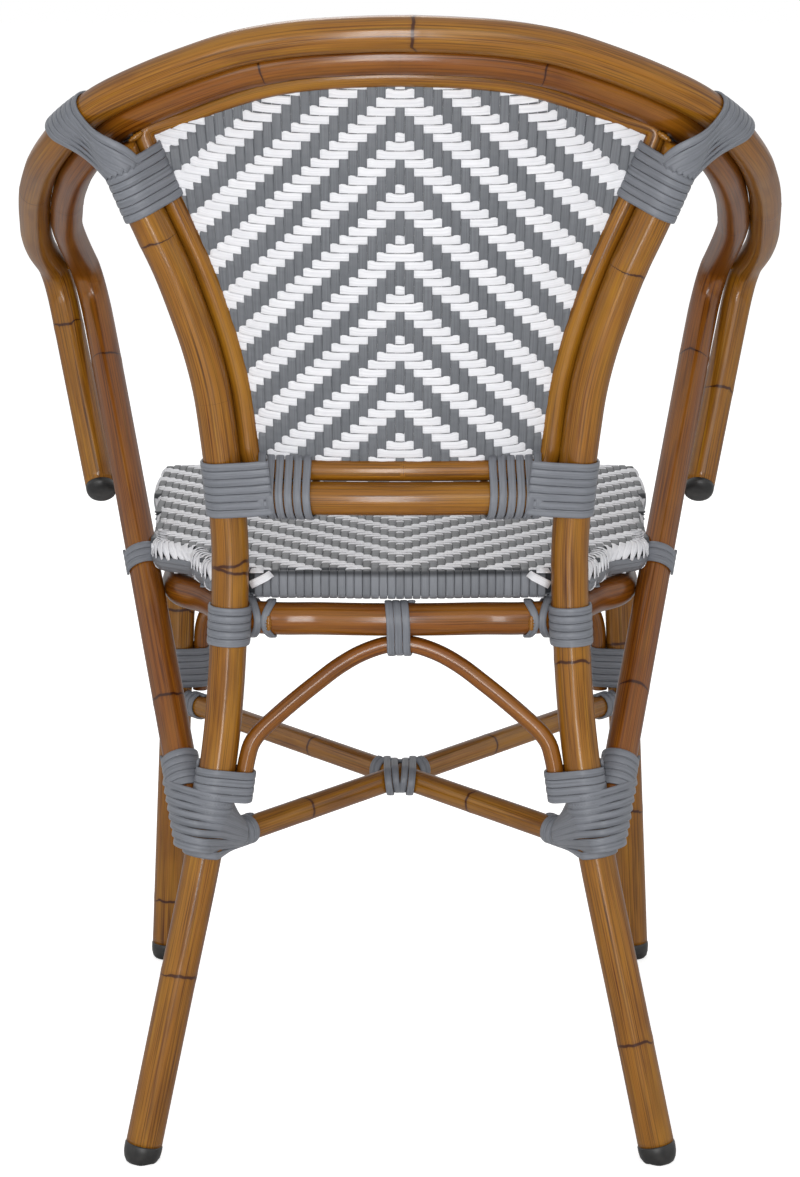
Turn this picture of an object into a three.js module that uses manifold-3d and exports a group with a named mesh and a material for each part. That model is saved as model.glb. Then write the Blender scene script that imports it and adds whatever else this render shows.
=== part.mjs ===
import * as THREE from 'three';
import * as BufferGeometryUtils from 'three/addons/utils/BufferGeometryUtils.js';
import Module from 'manifold-3d';

// A bistro armchair: bent metal tubes finished as cane, two woven panels and strand lashings.
// Millimetres. The sitter looks toward -Y, the back is toward +Y, +Z is up, the left arm is on +X.
// "Forward" is measured from the rear feet toward the front, "half" is measured from the middle plane.

const wasm = await Module();
wasm.setup();

// Fits
const clearance = 0.3;
const weldGap = 0.8;
const cutOverrun = 40;

// Tube diameters
const legDiameter = 28;
const outerBowDiameter = 25;
const innerBowDiameter = 24;
const hoopDiameter = 16;
const railDiameter = 25;
const ringDiameter = 25;
const archDiameter = 13;
const stretcherDiameter = 19;

// Rear legs, which go on upward as the stiles of the back
const rearFootHalf = 199.5;
const kneeHalf = 147.7;
const kneeForward = 34;
const kneeHeight = 247;
const waistHalf = 127.7;
const waistForward = 51.5;
const waistHeight = 440;
const stileTopIn = 81;
const stileTopForward = 12;
const stileTopDrop = 51.5;
const stileShares = [[0, 0, 0], [0.126, 0.002, 0.02], [0.287, 0.06, 0.139], [0.457, 0.155, 0.342],
  [0.654, 0.406, 0.62], [0.806, 0.682, 0.797], [0.906, 0.852, 0.911], [1, 1, 1]];

// Outer bow: top of the back, arms and their free ends. A drop is measured down from the crown.
const crownBehind = 30;
const crownHeight = 851.5;
const shoulderOut = 2.8;
const shoulderForward = 14;
const shoulderDrop = 51.6;
const armHalf = 294;
const elbowIn = 6;
const elbowForward = 358;
const elbowDrop = 210.5;
const elbowRadius = 30;
const armEndIn = 43.6;
const armEndForward = 301;
const armEndDrop = 381.5;
const topShares = [[0.25, 0.03, 0.04], [0.469, 0.136, 0.149], [0.733, 0.455, 0.492]];
const armShares = [[0.49, 0.163, 0.216], [0.785, 0.397, 0.427], [0.917, 0.586, 0.6], [1, 0.79, 0.795]];

// The bows' welded line turns about this point as it goes from the back to the arms
const hubForward = 150;
const hubDrop = 161.5;
const armGap = 2.5;
const innerElbowLead = 4;
const innerElbowRadius = 28;
const innerBowEndRise = 18;
const innerBowEndOut = 14;

// Frame of the woven back and the lower rail
const railRise = 98.5;
const railBow = 10;
const hoopCornerRadius = 11;
const hoopTopIn = 41;
const hoopSideRise = 51.9;
const hoopSideDrop = 98.3;
const hoopInwardShare = 0.9;
const hoopForwardShare = 0.436;

// Seat ring and woven seat
const ringHeight = 412;
const ringRearBow = 13;
const ringLegDegrees = 25;
const ringFrontForward = 494;
const seatEdgeRear = 5;
const seatEdgeSide = 20;
const seatEdgeFront = 14;
const seatCornerOut = 16;
const seatThickness = 23;
const seatCrown = 2;
const seatEdgeRadius = 8;

// Front legs
const frontFootHalf = 215;
const frontFootForward = 445;
const frontTopHalf = 195;
const frontTopForward = 462;

// Stretchers and arches. A rise is measured up from the stretchers.
const stretcherHeight = 244;
const archShoulderRise = 78;
const archEndRise = 37;
const frontArchEndRise = 8;

// Feet and arm caps
const footHeight = 14;
const footRadius = 14.6;
const footFlatRadius = 10;
const footDrop = 3;
const stemWall = 1.5;
const stemLength = 20;
const capHeight = 8;
const capRound = 4;

// Woven back
const panelThickness = 6;
const panelEdgeGap = 0.5;

// Strand of the lashings
const strandWidth = 5.4;
const strandThickness = 2.6;
const strandPitch = 6;
const strandCrownShare = 0.62;

// Lashings: number of loops or passes and their places
const cornerPasses = 6;
const stileLoops = 7;
const postPasses = 7;
const railLoops = 6;
const ringPasses = 5;
const ringCollarLoops = 3;
const archLoops = 5;
const fanPasses = 7;
const bowCollarLoops = 4;
const stretcherCollarLoops = 3;
const tieLoops = 3;
const frontLoops = 6;
const apexLoops = 3;
const centreLoops = 3;
const coilSides = 8;

// Faceting
const tubeSides = 12;
const slimTubeSides = 8;

const up = new THREE.Vector3(0, 0, 1);
const outward = new THREE.Vector3(1, 0, 0);
const ahead = new THREE.Vector3(0, -1, 0);

const at = (half, forward, height) => new THREE.Vector3(half, -forward, height);
const lerp = THREE.MathUtils.lerp;
const railHeight = ringHeight + railRise;
const stileTopHalf = armHalf - stileTopIn;
const stileTopHeight = crownHeight - stileTopDrop;
const shoulderHeight = crownHeight - shoulderDrop;
const elbowHeight = crownHeight - elbowDrop;
const innerBowEndHeight = stretcherHeight + innerBowEndRise;
const archShoulderHeight = stretcherHeight + archShoulderRise;
const radiusOf = (diameter) => diameter / 2;

const legRadius = radiusOf(legDiameter);
const outerBowRadius = radiusOf(outerBowDiameter);
const innerBowRadius = radiusOf(innerBowDiameter);
const hoopRadius = radiusOf(hoopDiameter);
const railRadius = radiusOf(railDiameter);
const ringRadius = radiusOf(ringDiameter);
const archRadius = radiusOf(archDiameter);
const stretcherRadius = radiusOf(stretcherDiameter);

// Materials
const finish = (color, roughness, metalness) => (
  new THREE.MeshStandardMaterial({ color, roughness, metalness }));
const cane = () => finish(0x94602c, 0.28, 0.1);
const darkCane = () => finish(0x7a4a20, 0.28, 0.1);
const greyStrand = () => finish(0x7b7e83, 0.55, 0);
const weave = () => finish(0xb9bbc0, 0.6, 0);
const blackPlastic = () => finish(0x1a1a1a, 0.5, 0);

// Paths are lists of points

const smooth = (points, steps, closed = false) => {
  const curve = new THREE.CatmullRomCurve3(points, closed, 'centripetal');
  const spaced = curve.getSpacedPoints(steps);
  return closed ? spaced.slice(0, -1) : spaced;
};

// Replaces the corner between two straight runs by an arc of the given radius
const roundCorner = (before, corner, after, radius, steps) => {
  const back = before.clone().sub(corner).normalize();
  const on = after.clone().sub(corner).normalize();
  const angle = back.angleTo(on);
  const inward = back.clone().add(on).normalize();
  const centre = corner.clone().addScaledVector(inward, radius / Math.sin(angle / 2));
  const tangent = radius / Math.tan(angle / 2);
  const start = back.multiplyScalar(tangent).add(corner).sub(centre);
  const end = on.multiplyScalar(tangent).add(corner).sub(centre);
  const sweep = start.angleTo(end);
  return Array.from({ length: steps + 1 }, (_, i) => {
    const share = i / steps;
    const fromStart = Math.sin((1 - share) * sweep) / Math.sin(sweep);
    const fromEnd = Math.sin(share * sweep) / Math.sin(sweep);
    return centre.clone().addScaledVector(start, fromStart).addScaledVector(end, fromEnd);
  });
};

const mirrored = (point) => new THREE.Vector3(-point.x, point.y, point.z);

// A half path that starts on the middle plane becomes a whole one
const bothSides = (half) => [...half.slice(1).reverse().map(mirrored), ...half];

// Where a path crosses the plane at a distance along an axis, nearest to the origin of the axis
const crossing = (path, origin, axis, distance = 0) => {
  const target = origin.clone().addScaledVector(axis, distance);
  let best = null;
  for (let i = 0; i + 1 < path.length; i += 1) {
    const here = path[i].clone().sub(target).dot(axis);
    const there = path[i + 1].clone().sub(target).dot(axis);
    const straddles = (here <= 0) !== (there <= 0);
    if (straddles) {
      const point = path[i].clone().lerp(path[i + 1], here / (here - there));
      const gap = point.distanceTo(target);
      if (best === null || gap < best.gap) {
        best = { point, gap, tangent: path[i + 1].clone().sub(path[i]).normalize() };
      }
    }
  }
  return best;
};

const atHeight = (path, height) => crossing(path, new THREE.Vector3(path[0].x, path[0].y, height), up);
const atHalf = (path, half, near) => crossing(path, new THREE.Vector3(half, near.y, near.z), outward);

// Solids

const solidFrom = (positions, index) => {
  const geometry = new THREE.BufferGeometry();
  const numbers = positions.flatMap((p) => p.toArray());
  geometry.setAttribute('position', new THREE.Float32BufferAttribute(numbers, 3));
  geometry.setIndex(index);
  return geometry;
};

// Skins rings of equal point counts; open stacks get a fan at each end
const skinRings = (rings, closed) => {
  const sides = rings[0].length;
  const positions = rings.flat();
  const index = [];
  const last = closed ? rings.length : rings.length - 1;
  for (let i = 0; i < last; i += 1) {
    const next = (i + 1) % rings.length;
    for (let k = 0; k < sides; k += 1) {
      const a = i * sides + k;
      const b = i * sides + (k + 1) % sides;
      const c = next * sides + k;
      const d = next * sides + (k + 1) % sides;
      index.push(a, b, d, a, d, c);
    }
  }
  if (!closed) {
    const end = (rings.length - 1) * sides;
    for (let k = 1; k + 1 < sides; k += 1) {
      index.push(0, k + 1, k);
      index.push(end, end + k, end + k + 1);
    }
  }
  return solidFrom(positions, index);
};

const directionAt = (path, i, closed) => {
  const count = path.length;
  const before = closed ? path[(i + count - 1) % count] : path[Math.max(i - 1, 0)];
  const after = closed ? path[(i + 1) % count] : path[Math.min(i + 1, count - 1)];
  const incoming = path[i].clone().sub(before).normalize();
  const outgoing = after.clone().sub(path[i]).normalize();
  return incoming.add(outgoing).normalize();
};

// A round tube along a path, without twist, and joined to itself when closed
const tube = (path, radius, sides = tubeSides, closed = false) => {
  const normals = [];
  const seed = Math.abs(directionAt(path, 0, closed).z) < 0.7 ? up.clone() : ahead.clone();
  let normal = seed;
  path.forEach((_, i) => {
    const direction = directionAt(path, i, closed);
    normal = normal.clone().addScaledVector(direction, -normal.dot(direction)).normalize();
    normals.push(normal);
  });
  let turn = 0;
  if (closed) {
    const direction = directionAt(path, 0, true);
    const carried = normal.clone().addScaledVector(direction, -normal.dot(direction)).normalize();
    const side = new THREE.Vector3().crossVectors(direction, carried);
    turn = Math.atan2(normals[0].dot(side), normals[0].dot(carried));
  }
  const rings = path.map((centre, i) => {
    const direction = directionAt(path, i, closed);
    const side = new THREE.Vector3().crossVectors(direction, normals[i]);
    return Array.from({ length: sides }, (_, k) => {
      const angle = 2 * Math.PI * k / sides + turn * i / path.length;
      return centre.clone()
        .addScaledVector(normals[i], radius * Math.cos(angle))
        .addScaledVector(side, radius * Math.sin(angle));
    });
  });
  return skinRings(rings, closed);
};

const toManifold = (geometry) => {
  const bare = geometry.clone();
  bare.deleteAttribute('normal');
  bare.deleteAttribute('uv');
  const merged = BufferGeometryUtils.mergeVertices(bare, 1e-4);
  return new wasm.Manifold(new wasm.Mesh({
    numProp: 3,
    vertProperties: new Float32Array(merged.attributes.position.array),
    triVerts: new Uint32Array(merged.index.array),
  }));
};

const fromManifold = (solid) => {
  const mesh = solid.getMesh();
  const geometry = new THREE.BufferGeometry();
  geometry.setAttribute('position', new THREE.BufferAttribute(new Float32Array(mesh.vertProperties), 3));
  geometry.setIndex(Array.from(mesh.triVerts));
  return geometry;
};

// The piece that is left round a point when the tools are cut away
const cut = (geometry, tools, keepNear = null) => {
  let solid = toManifold(geometry);
  for (const tool of tools) {
    solid = solid.subtract(toManifold(tool));
  }
  if (keepNear === null) {
    return fromManifold(solid);
  }
  const pieces = solid.decompose();
  const reach = (piece) => {
    const box = piece.boundingBox();
    const low = new THREE.Vector3(...box.min);
    const high = new THREE.Vector3(...box.max);
    return new THREE.Box3(low, high).distanceToPoint(keepNear) - low.distanceTo(high) * clearance;
  };
  pieces.sort((a, b) => reach(a) - reach(b));
  return fromManifold(pieces[0]);
};

const mirrorSolid = (geometry) => {
  const copy = geometry.clone();
  const flat = copy.index ? Array.from(copy.index.array) : null;
  copy.scale(-1, 1, 1);
  const flipped = [];
  for (let i = 0; i < flat.length; i += 3) {
    flipped.push(flat[i], flat[i + 2], flat[i + 1]);
  }
  copy.setIndex(flipped);
  return copy;
};

const group = new THREE.Group();

const addPart = (name, geometry, material) => {
  const mesh = new THREE.Mesh(geometry, material);
  mesh.name = name;
  group.add(mesh);
  return mesh;
};

const addPair = (name, geometry, material) => {
  addPart(`${name}_left`, geometry, material());
  addPart(`${name}_right`, mirrorSolid(geometry), material());
};

// Strands

// How far a tube reaches in a direction across the axis of a lashing
const sectionReach = ({ path, radius }, origin, axis, distance, direction) => {
  const hit = crossing(path, origin, axis, distance);
  if (hit === null) {
    return -Infinity;
  }
  const lean = hit.tangent.clone().addScaledVector(axis, -hit.tangent.dot(axis));
  const rise = Math.abs(hit.tangent.dot(axis));
  const leanLength = lean.length();
  const along = leanLength > 0 ? direction.dot(lean) / leanLength : 0;
  const spread = Math.sqrt(1 - along * along + (along / rise) ** 2);
  return hit.point.clone().sub(origin).dot(direction) + radius * spread;
};

// The same for a bundle of tubes, over the width of a strand
const supportOf = (bundle, origin, axis, distance, direction) => Math.max(...bundle.flatMap((set) => (
  [-strandWidth / 2, strandWidth / 2].map((side) => (
    sectionReach(set, origin, axis, distance + side, direction))))));

const seatOfStrand = clearance + strandThickness / 2;

// A flat strand with a narrower outer face along straight runs, each run with its outward normal
const strand = (points, normals) => {
  const halfWidth = strandWidth / 2;
  const halfThickness = strandThickness / 2;
  const neighbourShare = 0.5;
  const runs = points.slice(1).map((point, i) => point.clone().sub(points[i]).normalize());
  const lefts = runs.map((run, i) => new THREE.Vector3().crossVectors(normals[i], run).normalize());
  const corners = [[strandCrownShare, 1], [-strandCrownShare, 1], [-1, -1], [1, -1]];
  const rings = points.map((point, i) => {
    const before = Math.max(i - 1, 0);
    const after = Math.min(i, runs.length - 1);
    const plane = runs[before].clone().add(runs[after]).normalize();
    return corners.map(([across, out]) => {
      const sum = new THREE.Vector3();
      for (const j of [before, after]) {
        const offset = lefts[j].clone().multiplyScalar(across * halfWidth);
        offset.addScaledVector(normals[j], out * halfThickness);
        offset.addScaledVector(runs[j], -offset.dot(plane) / runs[j].dot(plane));
        sum.add(offset);
      }
      return point.clone().addScaledVector(sum, neighbourShare);
    });
  });
  return { geometry: skinRings(rings, false), rings };
};

const leastGaps = {};

// The least distance between two stretches of one strand that are over half a loop apart
const measureGap = (name, { rings }, apart) => {
  let least = Infinity;
  const centre = (ring) => ring.reduce((sum, p) => sum.add(p), new THREE.Vector3()).divideScalar(ring.length);
  const run = [0];
  rings.slice(1).forEach((ring, i) => run.push(run[i] + centre(ring).distanceTo(centre(rings[i]))));
  for (let i = 0; i < rings.length; i += 1) {
    for (let j = i + 1; j + 1 < rings.length; j += 1) {
      if (run[j] - run[i] > apart) {
        for (const p of rings[i]) {
          for (let k = 0; k < 4; k += 1) {
            const edge = new THREE.Line3(rings[j][k], rings[j + 1][k]);
            least = Math.min(least, edge.closestPointToPoint(p, true, new THREE.Vector3()).distanceTo(p));
          }
        }
      }
    }
  }
  leastGaps[name] = least;
};

const planeAxes = (axis, toward) => {
  const first = toward.clone().addScaledVector(axis, -toward.dot(axis)).normalize();
  const second = new THREE.Vector3().crossVectors(axis, first);
  return [first, second];
};

// Where two support lines meet, in the plane across the axis
const meet = (origin, axis, distance, a, reachA, b, reachB) => {
  const cos = a.dot(b);
  const scale = 1 / (1 - cos * cos);
  return origin.clone().addScaledVector(axis, distance)
    .addScaledVector(a, (reachA - cos * reachB) * scale)
    .addScaledVector(b, (reachB - cos * reachA) * scale);
};

// One strand wound in full loops round a bundle of tubes
const coil = (name, { bundle, origin, axis, toward, loops }) => {
  const [first, second] = planeAxes(axis, toward);
  const facing = (k) => {
    const angle = 2 * Math.PI * k / coilSides;
    return first.clone().multiplyScalar(Math.cos(angle)).addScaledVector(second, Math.sin(angle));
  };
  const points = [];
  const normals = [];
  const total = loops * coilSides;
  const rise = strandPitch / coilSides;
  for (let k = 0; k <= total; k += 1) {
    const distance = (k - total / 2) * rise;
    const a = facing(k);
    const b = facing(k + 1);
    const reachA = supportOf(bundle, origin, axis, distance, a) + seatOfStrand;
    const reachB = supportOf(bundle, origin, axis, distance, b) + seatOfStrand;
    points.push(meet(origin, axis, distance, a, reachA, b, reachB));
    if (k < total) {
      normals.push(b);
    }
  }
  const made = strand(points, normals);
  measureGap(name, made, strandPitch * coilSides / 2);
  return made.geometry;
};

// One strand laid to and fro round a post, with its straight ends toward a joined tube
const passesApart = 4;
const strapping = (name, { bundle, along = [], origin, axis, toward, passes, reachFor }) => {
  const [first, second] = planeAxes(axis, toward);
  const sideReach = (line, reach) => (along.length > 0 ? Math.max(
    supportOf(along, origin, first, reach, line),
    supportOf(along, origin, first, reach / 2, line),
  ) : -Infinity);
  const lines = [0, 1, 2, 3, 4].map((k) => {
    const angle = Math.PI / 2 + Math.PI * k / 4;
    return first.clone().multiplyScalar(Math.cos(angle)).addScaledVector(second, Math.sin(angle));
  });
  const points = [];
  const normals = [];
  for (let pass = 0; pass < passes; pass += 1) {
    const distance = (pass - (passes - 1) / 2) * strandPitch;
    const share = 2 * pass / (passes - 1) - 1;
    const start = origin.clone().addScaledVector(axis, distance);
    const reach = reachFor(share, start, first);
    const reaches = lines.map((line, k) => {
      const nearest = supportOf(bundle, origin, axis, distance, line);
      return Math.max(nearest, k % 4 === 0 ? sideReach(line, reach) : nearest) + seatOfStrand;
    });
    const ends = [0, 4].map((k) => start.clone()
      .addScaledVector(lines[k], reaches[k]).addScaledVector(first, reach));
    const bends = [0, 1, 2, 3].map((k) => (
      meet(origin, axis, distance, lines[k], reaches[k], lines[k + 1], reaches[k + 1])));
    const path = [ends[0], ...bends, ends[1]];
    const faces = [...lines];
    if (pass % 2 === 1) {
      path.reverse();
      faces.reverse();
    }
    if (pass > 0) {
      normals.push(faces[0]);
    }
    points.push(...path);
    normals.push(...faces);
  }
  const made = strand(points, normals);
  measureGap(name, made, strandPitch * passesApart);
  return made.geometry;
};

// Outer bow

const shoulderHalf = stileTopHalf + shoulderOut;
const crown = at(0, -crownBehind, crownHeight);
const shoulder = at(shoulderHalf, shoulderForward, shoulderHeight);
const elbow = at(armHalf - elbowIn, elbowForward, elbowHeight);
const armEnd = at(armHalf - armEndIn, armEndForward, crownHeight - armEndDrop);

const topPoints = topShares.map(([half, forward, drop]) => at(
  shoulderHalf * half,
  lerp(-crownBehind, shoulderForward, forward),
  lerp(crownHeight, shoulderHeight, drop),
));
const armPoints = armShares.map(([half, forward, drop]) => at(
  lerp(shoulderHalf, armHalf, half),
  lerp(shoulderForward, elbowForward, forward),
  lerp(shoulderHeight, elbowHeight, drop),
));

const bowSteps = 16;
const elbowSteps = 6;
const elbowArc = roundCorner(armPoints.at(-1), elbow, armEnd, elbowRadius, elbowSteps);
const outerControl = [crown, ...topPoints, shoulder, ...armPoints, elbowArc[0]];
const symmetricOuter = [...outerControl.slice(1).reverse().map(mirrored), ...outerControl];
const outerRun = smooth(symmetricOuter, bowSteps * 2);
const outerHalf = [...outerRun.slice(bowSteps), ...elbowArc.slice(1), armEnd];
const outerBow = bothSides(outerHalf);

// Inner bow: beside the outer one, then down to the rear leg

const hub = at(0, hubForward, crownHeight - hubDrop);

const besideOf = (path, i, distance) => {
  const direction = directionAt(path, i, false);
  const toHub = hub.clone().sub(path[i]);
  toHub.addScaledVector(direction, -toHub.dot(direction)).normalize();
  return path[i].clone().addScaledVector(toHub, distance);
};

const armShareAt = (point) => Math.max(0, (-point.y - shoulderForward) / (elbowForward - shoulderForward));
const bowSpacing = outerBowRadius + innerBowRadius + clearance;
const outerMiddle = outerHalf.length - 1;
const innerFollow = outerBow.slice(outerMiddle, outerMiddle + bowSteps - 1).map((point, i) => (
  besideOf(outerBow, outerMiddle + i, bowSpacing + armGap * armShareAt(point))));

// Rear leg and stile

const rearFoot = at(rearFootHalf, 0, 0);
const knee = at(kneeHalf, kneeForward, kneeHeight);
const waist = at(waistHalf, waistForward, waistHeight);
const kneeShares = [0.45, 0.66, 0.68];
const stilePoints = stileShares.map(([height, half, forward]) => at(
  lerp(waistHalf, stileTopHalf, half),
  lerp(waistForward, stileTopForward, forward),
  lerp(waistHeight, stileTopHeight, height),
));
const shinShare = 0.5;
const legSteps = 26;
const legControl = [
  rearFoot,
  rearFoot.clone().lerp(knee, shinShare),
  knee,
  at(
    lerp(kneeHalf, waistHalf, kneeShares[1]),
    lerp(kneeForward, waistForward, kneeShares[2]),
    lerp(kneeHeight, waistHeight, kneeShares[0]),
  ),
  ...stilePoints,
];
const rearLegWhole = smooth(legControl, legSteps);
const rearLegAxis = rearLegWhole[1].clone().sub(rearLegWhole[0]).normalize();
const rearLegStart = rearFoot.clone().addScaledVector(rearLegAxis, footHeight);
const rearLeg = [rearLegStart, ...rearLegWhole.slice(1)];

const legAtBow = atHeight(rearLeg, innerBowEndHeight).point;
const innerBowEnd = legAtBow.clone().addScaledVector(outward, innerBowEndOut);
const innerElbow = elbow.clone()
  .addScaledVector(outward, -(bowSpacing + armGap))
  .addScaledVector(ahead, innerElbowLead);
const innerArc = roundCorner(innerFollow.at(-1), innerElbow, innerBowEnd, innerElbowRadius, elbowSteps);
const innerHalf = [...innerFollow.slice(0, -1), ...innerArc, innerBowEnd];
const innerBow = bothSides(innerHalf);

// Rail between the stiles

const railEnd = atHeight(rearLeg, railHeight).point;
const railMiddle = at(0, -railEnd.y - railBow, railHeight);
const railSteps = 4;
const railPoint = (share) => (
  new THREE.Vector3(railEnd.x * share, lerp(railMiddle.y, railEnd.y, share * share), railHeight));
const railHalf = Array.from({ length: railSteps + 1 }, (_, i) => railPoint(i / railSteps));
const rail = bothSides(railHalf);

// Hoop that frames the woven back: over the rail, along the stiles and under the inner bow

const hoopOnRailShares = [0.36, 0.93];
const hoopRailSpacing = railRadius + hoopRadius + weldGap;
const hoopLowShares = [0, 0.35, 0.7];
const hoopLow = hoopLowShares.map((share) => railPoint(share)
  .addScaledVector(ahead, hoopRailSpacing * hoopOnRailShares[0])
  .addScaledVector(up, hoopRailSpacing * hoopOnRailShares[1]));
const hoopStileSpacing = legRadius + hoopRadius + weldGap;
const besideStile = (height) => {
  const { point, tangent } = atHeight(rearLeg, height);
  const inward = outward.clone().negate().addScaledVector(tangent, tangent.x).normalize();
  return point.addScaledVector(inward, hoopStileSpacing * hoopInwardShare)
    .addScaledVector(ahead, hoopStileSpacing * hoopForwardShare);
};
const hoopSideCount = 8;
const hoopSide = Array.from({ length: hoopSideCount }, (_, i) => (
  besideStile(lerp(railHeight + hoopSideRise, crownHeight - hoopSideDrop, i / (hoopSideCount - 1)))));
const hoopSpacing = innerBowRadius + hoopRadius + clearance;
const innerMiddle = innerHalf.length - 1;
const hoopTop = innerHalf
  .map((_, i) => besideOf(innerBow, innerMiddle + i, hoopSpacing))
  .filter((point, i) => i < bowSteps && point.x < stileTopHalf - hoopTopIn && -point.y < hubForward)
  .reverse();

// Where two straight runs would meet, halfway between their nearest points
const meetingPoint = (from, through, toward, beyond) => {
  const a = through.clone().sub(from).normalize();
  const b = toward.clone().sub(beyond).normalize();
  const between = toward.clone().sub(through);
  const cos = a.dot(b);
  const onA = (between.dot(a) - cos * between.dot(b)) / (1 - cos * cos);
  const onB = (cos * between.dot(a) - between.dot(b)) / (1 - cos * cos);
  const nearA = through.clone().addScaledVector(a, onA);
  const nearB = toward.clone().addScaledVector(b, onB);
  return nearA.add(nearB).divideScalar(2);
};
const hoopCornerSteps = 3;
const hoopCorner = (before, after) => {
  const vertex = meetingPoint(before.at(-2), before.at(-1), after[0], after[1]);
  return roundCorner(before.at(-1), vertex, after[0], hoopCornerRadius, hoopCornerSteps);
};
const hoopLowArc = hoopCorner(hoopLow, hoopSide);
const hoopHighArc = hoopCorner(hoopSide, hoopTop);
const hoopHalf = [...hoopLow, ...hoopLowArc, ...hoopSide, ...hoopHighArc, ...hoopTop];
const hoop = [...hoopHalf, ...hoopHalf.slice(1, -1).reverse().map(mirrored)];

// Seat ring: in front of the rear legs, inside the inner bow and over the front legs

const legAtRing = atHeight(rearLeg, ringHeight).point;
const bowAtRing = crossing(innerHalf, at(waistHalf, waistForward, ringHeight), up).point;
const legToRing = legRadius + ringRadius + weldGap;
const ringRear = -legAtRing.y + legToRing;
const ringLegTurn = THREE.MathUtils.degToRad(ringLegDegrees);
const tieSpacing = innerBowRadius + ringRadius + weldGap * 2;
const ringTieHalf = bowAtRing.x - tieSpacing;
const ringTieForward = -bowAtRing.y;
const ringRearShare = 0.72;
const ringCornerShares = [0.41, 0.61];
const ringSideShares = [0.3, 0.56];
const ringFrontShares = [[1, 0.88, 0], [0.965, 1, 0.45], [0.83, 1, 0.9]];
const ringSidePoint = (share) => at(
  lerp(ringTieHalf, frontTopHalf, share), lerp(ringTieForward, frontTopForward, share), ringHeight);
const ringControlHalf = [
  at(0, ringRear - ringRearBow, ringHeight),
  at(legAtRing.x / 2, ringRear - ringRearBow * ringRearShare, ringHeight),
  at(
    legAtRing.x - legToRing * Math.sin(ringLegTurn),
    -legAtRing.y + legToRing * Math.cos(ringLegTurn),
    ringHeight,
  ),
  at(
    lerp(legAtRing.x, ringTieHalf, ringCornerShares[0]),
    lerp(ringRear, ringTieForward, ringCornerShares[1]),
    ringHeight,
  ),
  at(ringTieHalf, ringTieForward, ringHeight),
  ...ringSideShares.map(ringSidePoint),
  ...ringFrontShares.map(([half, side, front]) => at(
    frontTopHalf * half,
    lerp(lerp(ringTieForward, frontTopForward, side), ringFrontForward, front),
    ringHeight,
  )),
  at(frontTopHalf / 2, ringFrontForward, ringHeight),
  at(0, ringFrontForward, ringHeight),
];
const ringControl = [...ringControlHalf, ...ringControlHalf.slice(1, -1).reverse().map(mirrored)];
const ringSteps = 46;
const ringSides = 10;
const ring = smooth(ringControl, ringSteps, true);
const ringLoop = [...ring, ring[0]];
const hoopLoop = [...hoop, hoop[0]];

// Front legs

const frontFoot = at(frontFootHalf, frontFootForward, 0);
const frontTop = at(frontTopHalf, frontTopForward, ringHeight);
const frontLegAxis = frontTop.clone().sub(frontFoot).normalize();
const frontLegStart = frontFoot.clone().addScaledVector(frontLegAxis, footHeight);
const frontLeg = [frontLegStart, frontTop];

// Stretchers: one whole tube and two halves that meet it in the middle

const rearCross = atHeight(rearLeg, stretcherHeight).point;
const frontCross = atHeight(frontLeg, stretcherHeight).point;
const longStretcher = [rearCross, mirrored(frontCross)];
const crossStretcher = [mirrored(rearCross), frontCross];

// Arches, tied to the ring in the middle

const archDrop = ringRadius + archRadius + clearance;
const archSpacing = legRadius + archRadius + weldGap;
const archLeaning = 3;
const archShares = [[0.83, 0.27], [0.6, 0.56], [0.4, 0.79], [0.2, 0.95]];
const archSteps = 18;
const archLowShare = 0.55;
const archTopShare = 0.07;
const archHalf = (leg, endHeight, middleForward) => {
  const foot = atHeight(leg, endHeight).point.addScaledVector(outward, -archSpacing);
  const bend = atHeight(leg, archShoulderHeight).point.addScaledVector(outward, -archSpacing - archLeaning);
  const lowHeight = lerp(endHeight, archShoulderHeight, archLowShare);
  const low = atHeight(leg, lowHeight).point.addScaledVector(outward, -archSpacing);
  const top = at(0, middleForward, ringHeight - archDrop);
  const rise = archShares.map(([half, height]) => new THREE.Vector3(
    bend.x * half,
    lerp(bend.y, top.y, height),
    lerp(bend.z, top.z, height),
  ));
  const nearTop = at(bend.x * archTopShare, middleForward, ringHeight - archDrop);
  return [top, nearTop, ...rise.reverse(), bend, low, foot];
};
const archPath = (half) => smooth(bothSides(half), archSteps * 2);
const archEndHeight = stretcherHeight + archEndRise;
const frontArchEndHeight = stretcherHeight + frontArchEndRise;
const rearArch = archPath(archHalf(rearLeg, archEndHeight, ringRear - ringRearBow));
const frontArch = archPath(archHalf(frontLeg, frontArchEndHeight, ringFrontForward));

// Feet and arm caps

const plugSides = 12;
const stemRadius = (tubeRadius) => tubeRadius - stemWall - clearance;
const boreRadius = (tubeRadius) => tubeRadius - stemWall;

const alongAxis = (geometry, base, axis) => {
  const turn = new THREE.Quaternion().setFromUnitVectors(new THREE.Vector3(0, 1, 0), axis);
  return geometry.applyQuaternion(turn).translate(base.x, base.y, base.z);
};

const revolve = (outline) => {
  const points = outline.map(([radius, height]) => new THREE.Vector2(radius, height));
  return new THREE.LatheGeometry(points, plugSides);
};

const footShares = [[0.65, 0.12], [0.95, 0.45], [1, 0.75]];
const foot = (base, axis, tubeRadius) => {
  const rim = footHeight - clearance;
  const body = revolve([
    [0, -footDrop],
    [footFlatRadius, -footDrop],
    ...footShares.map(([out, rise]) => [lerp(footFlatRadius, footRadius, out), rim * rise]),
    [footRadius, rim],
    [stemRadius(tubeRadius), rim],
    [stemRadius(tubeRadius), rim + stemLength],
    [0, rim + stemLength],
  ]);
  alongAxis(body, base, axis);
  const ground = new THREE.BoxGeometry(cutOverrun * 2, cutOverrun * 2, cutOverrun);
  ground.translate(base.x, base.y, -cutOverrun / 2);
  return cut(body, [ground]);
};

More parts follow.
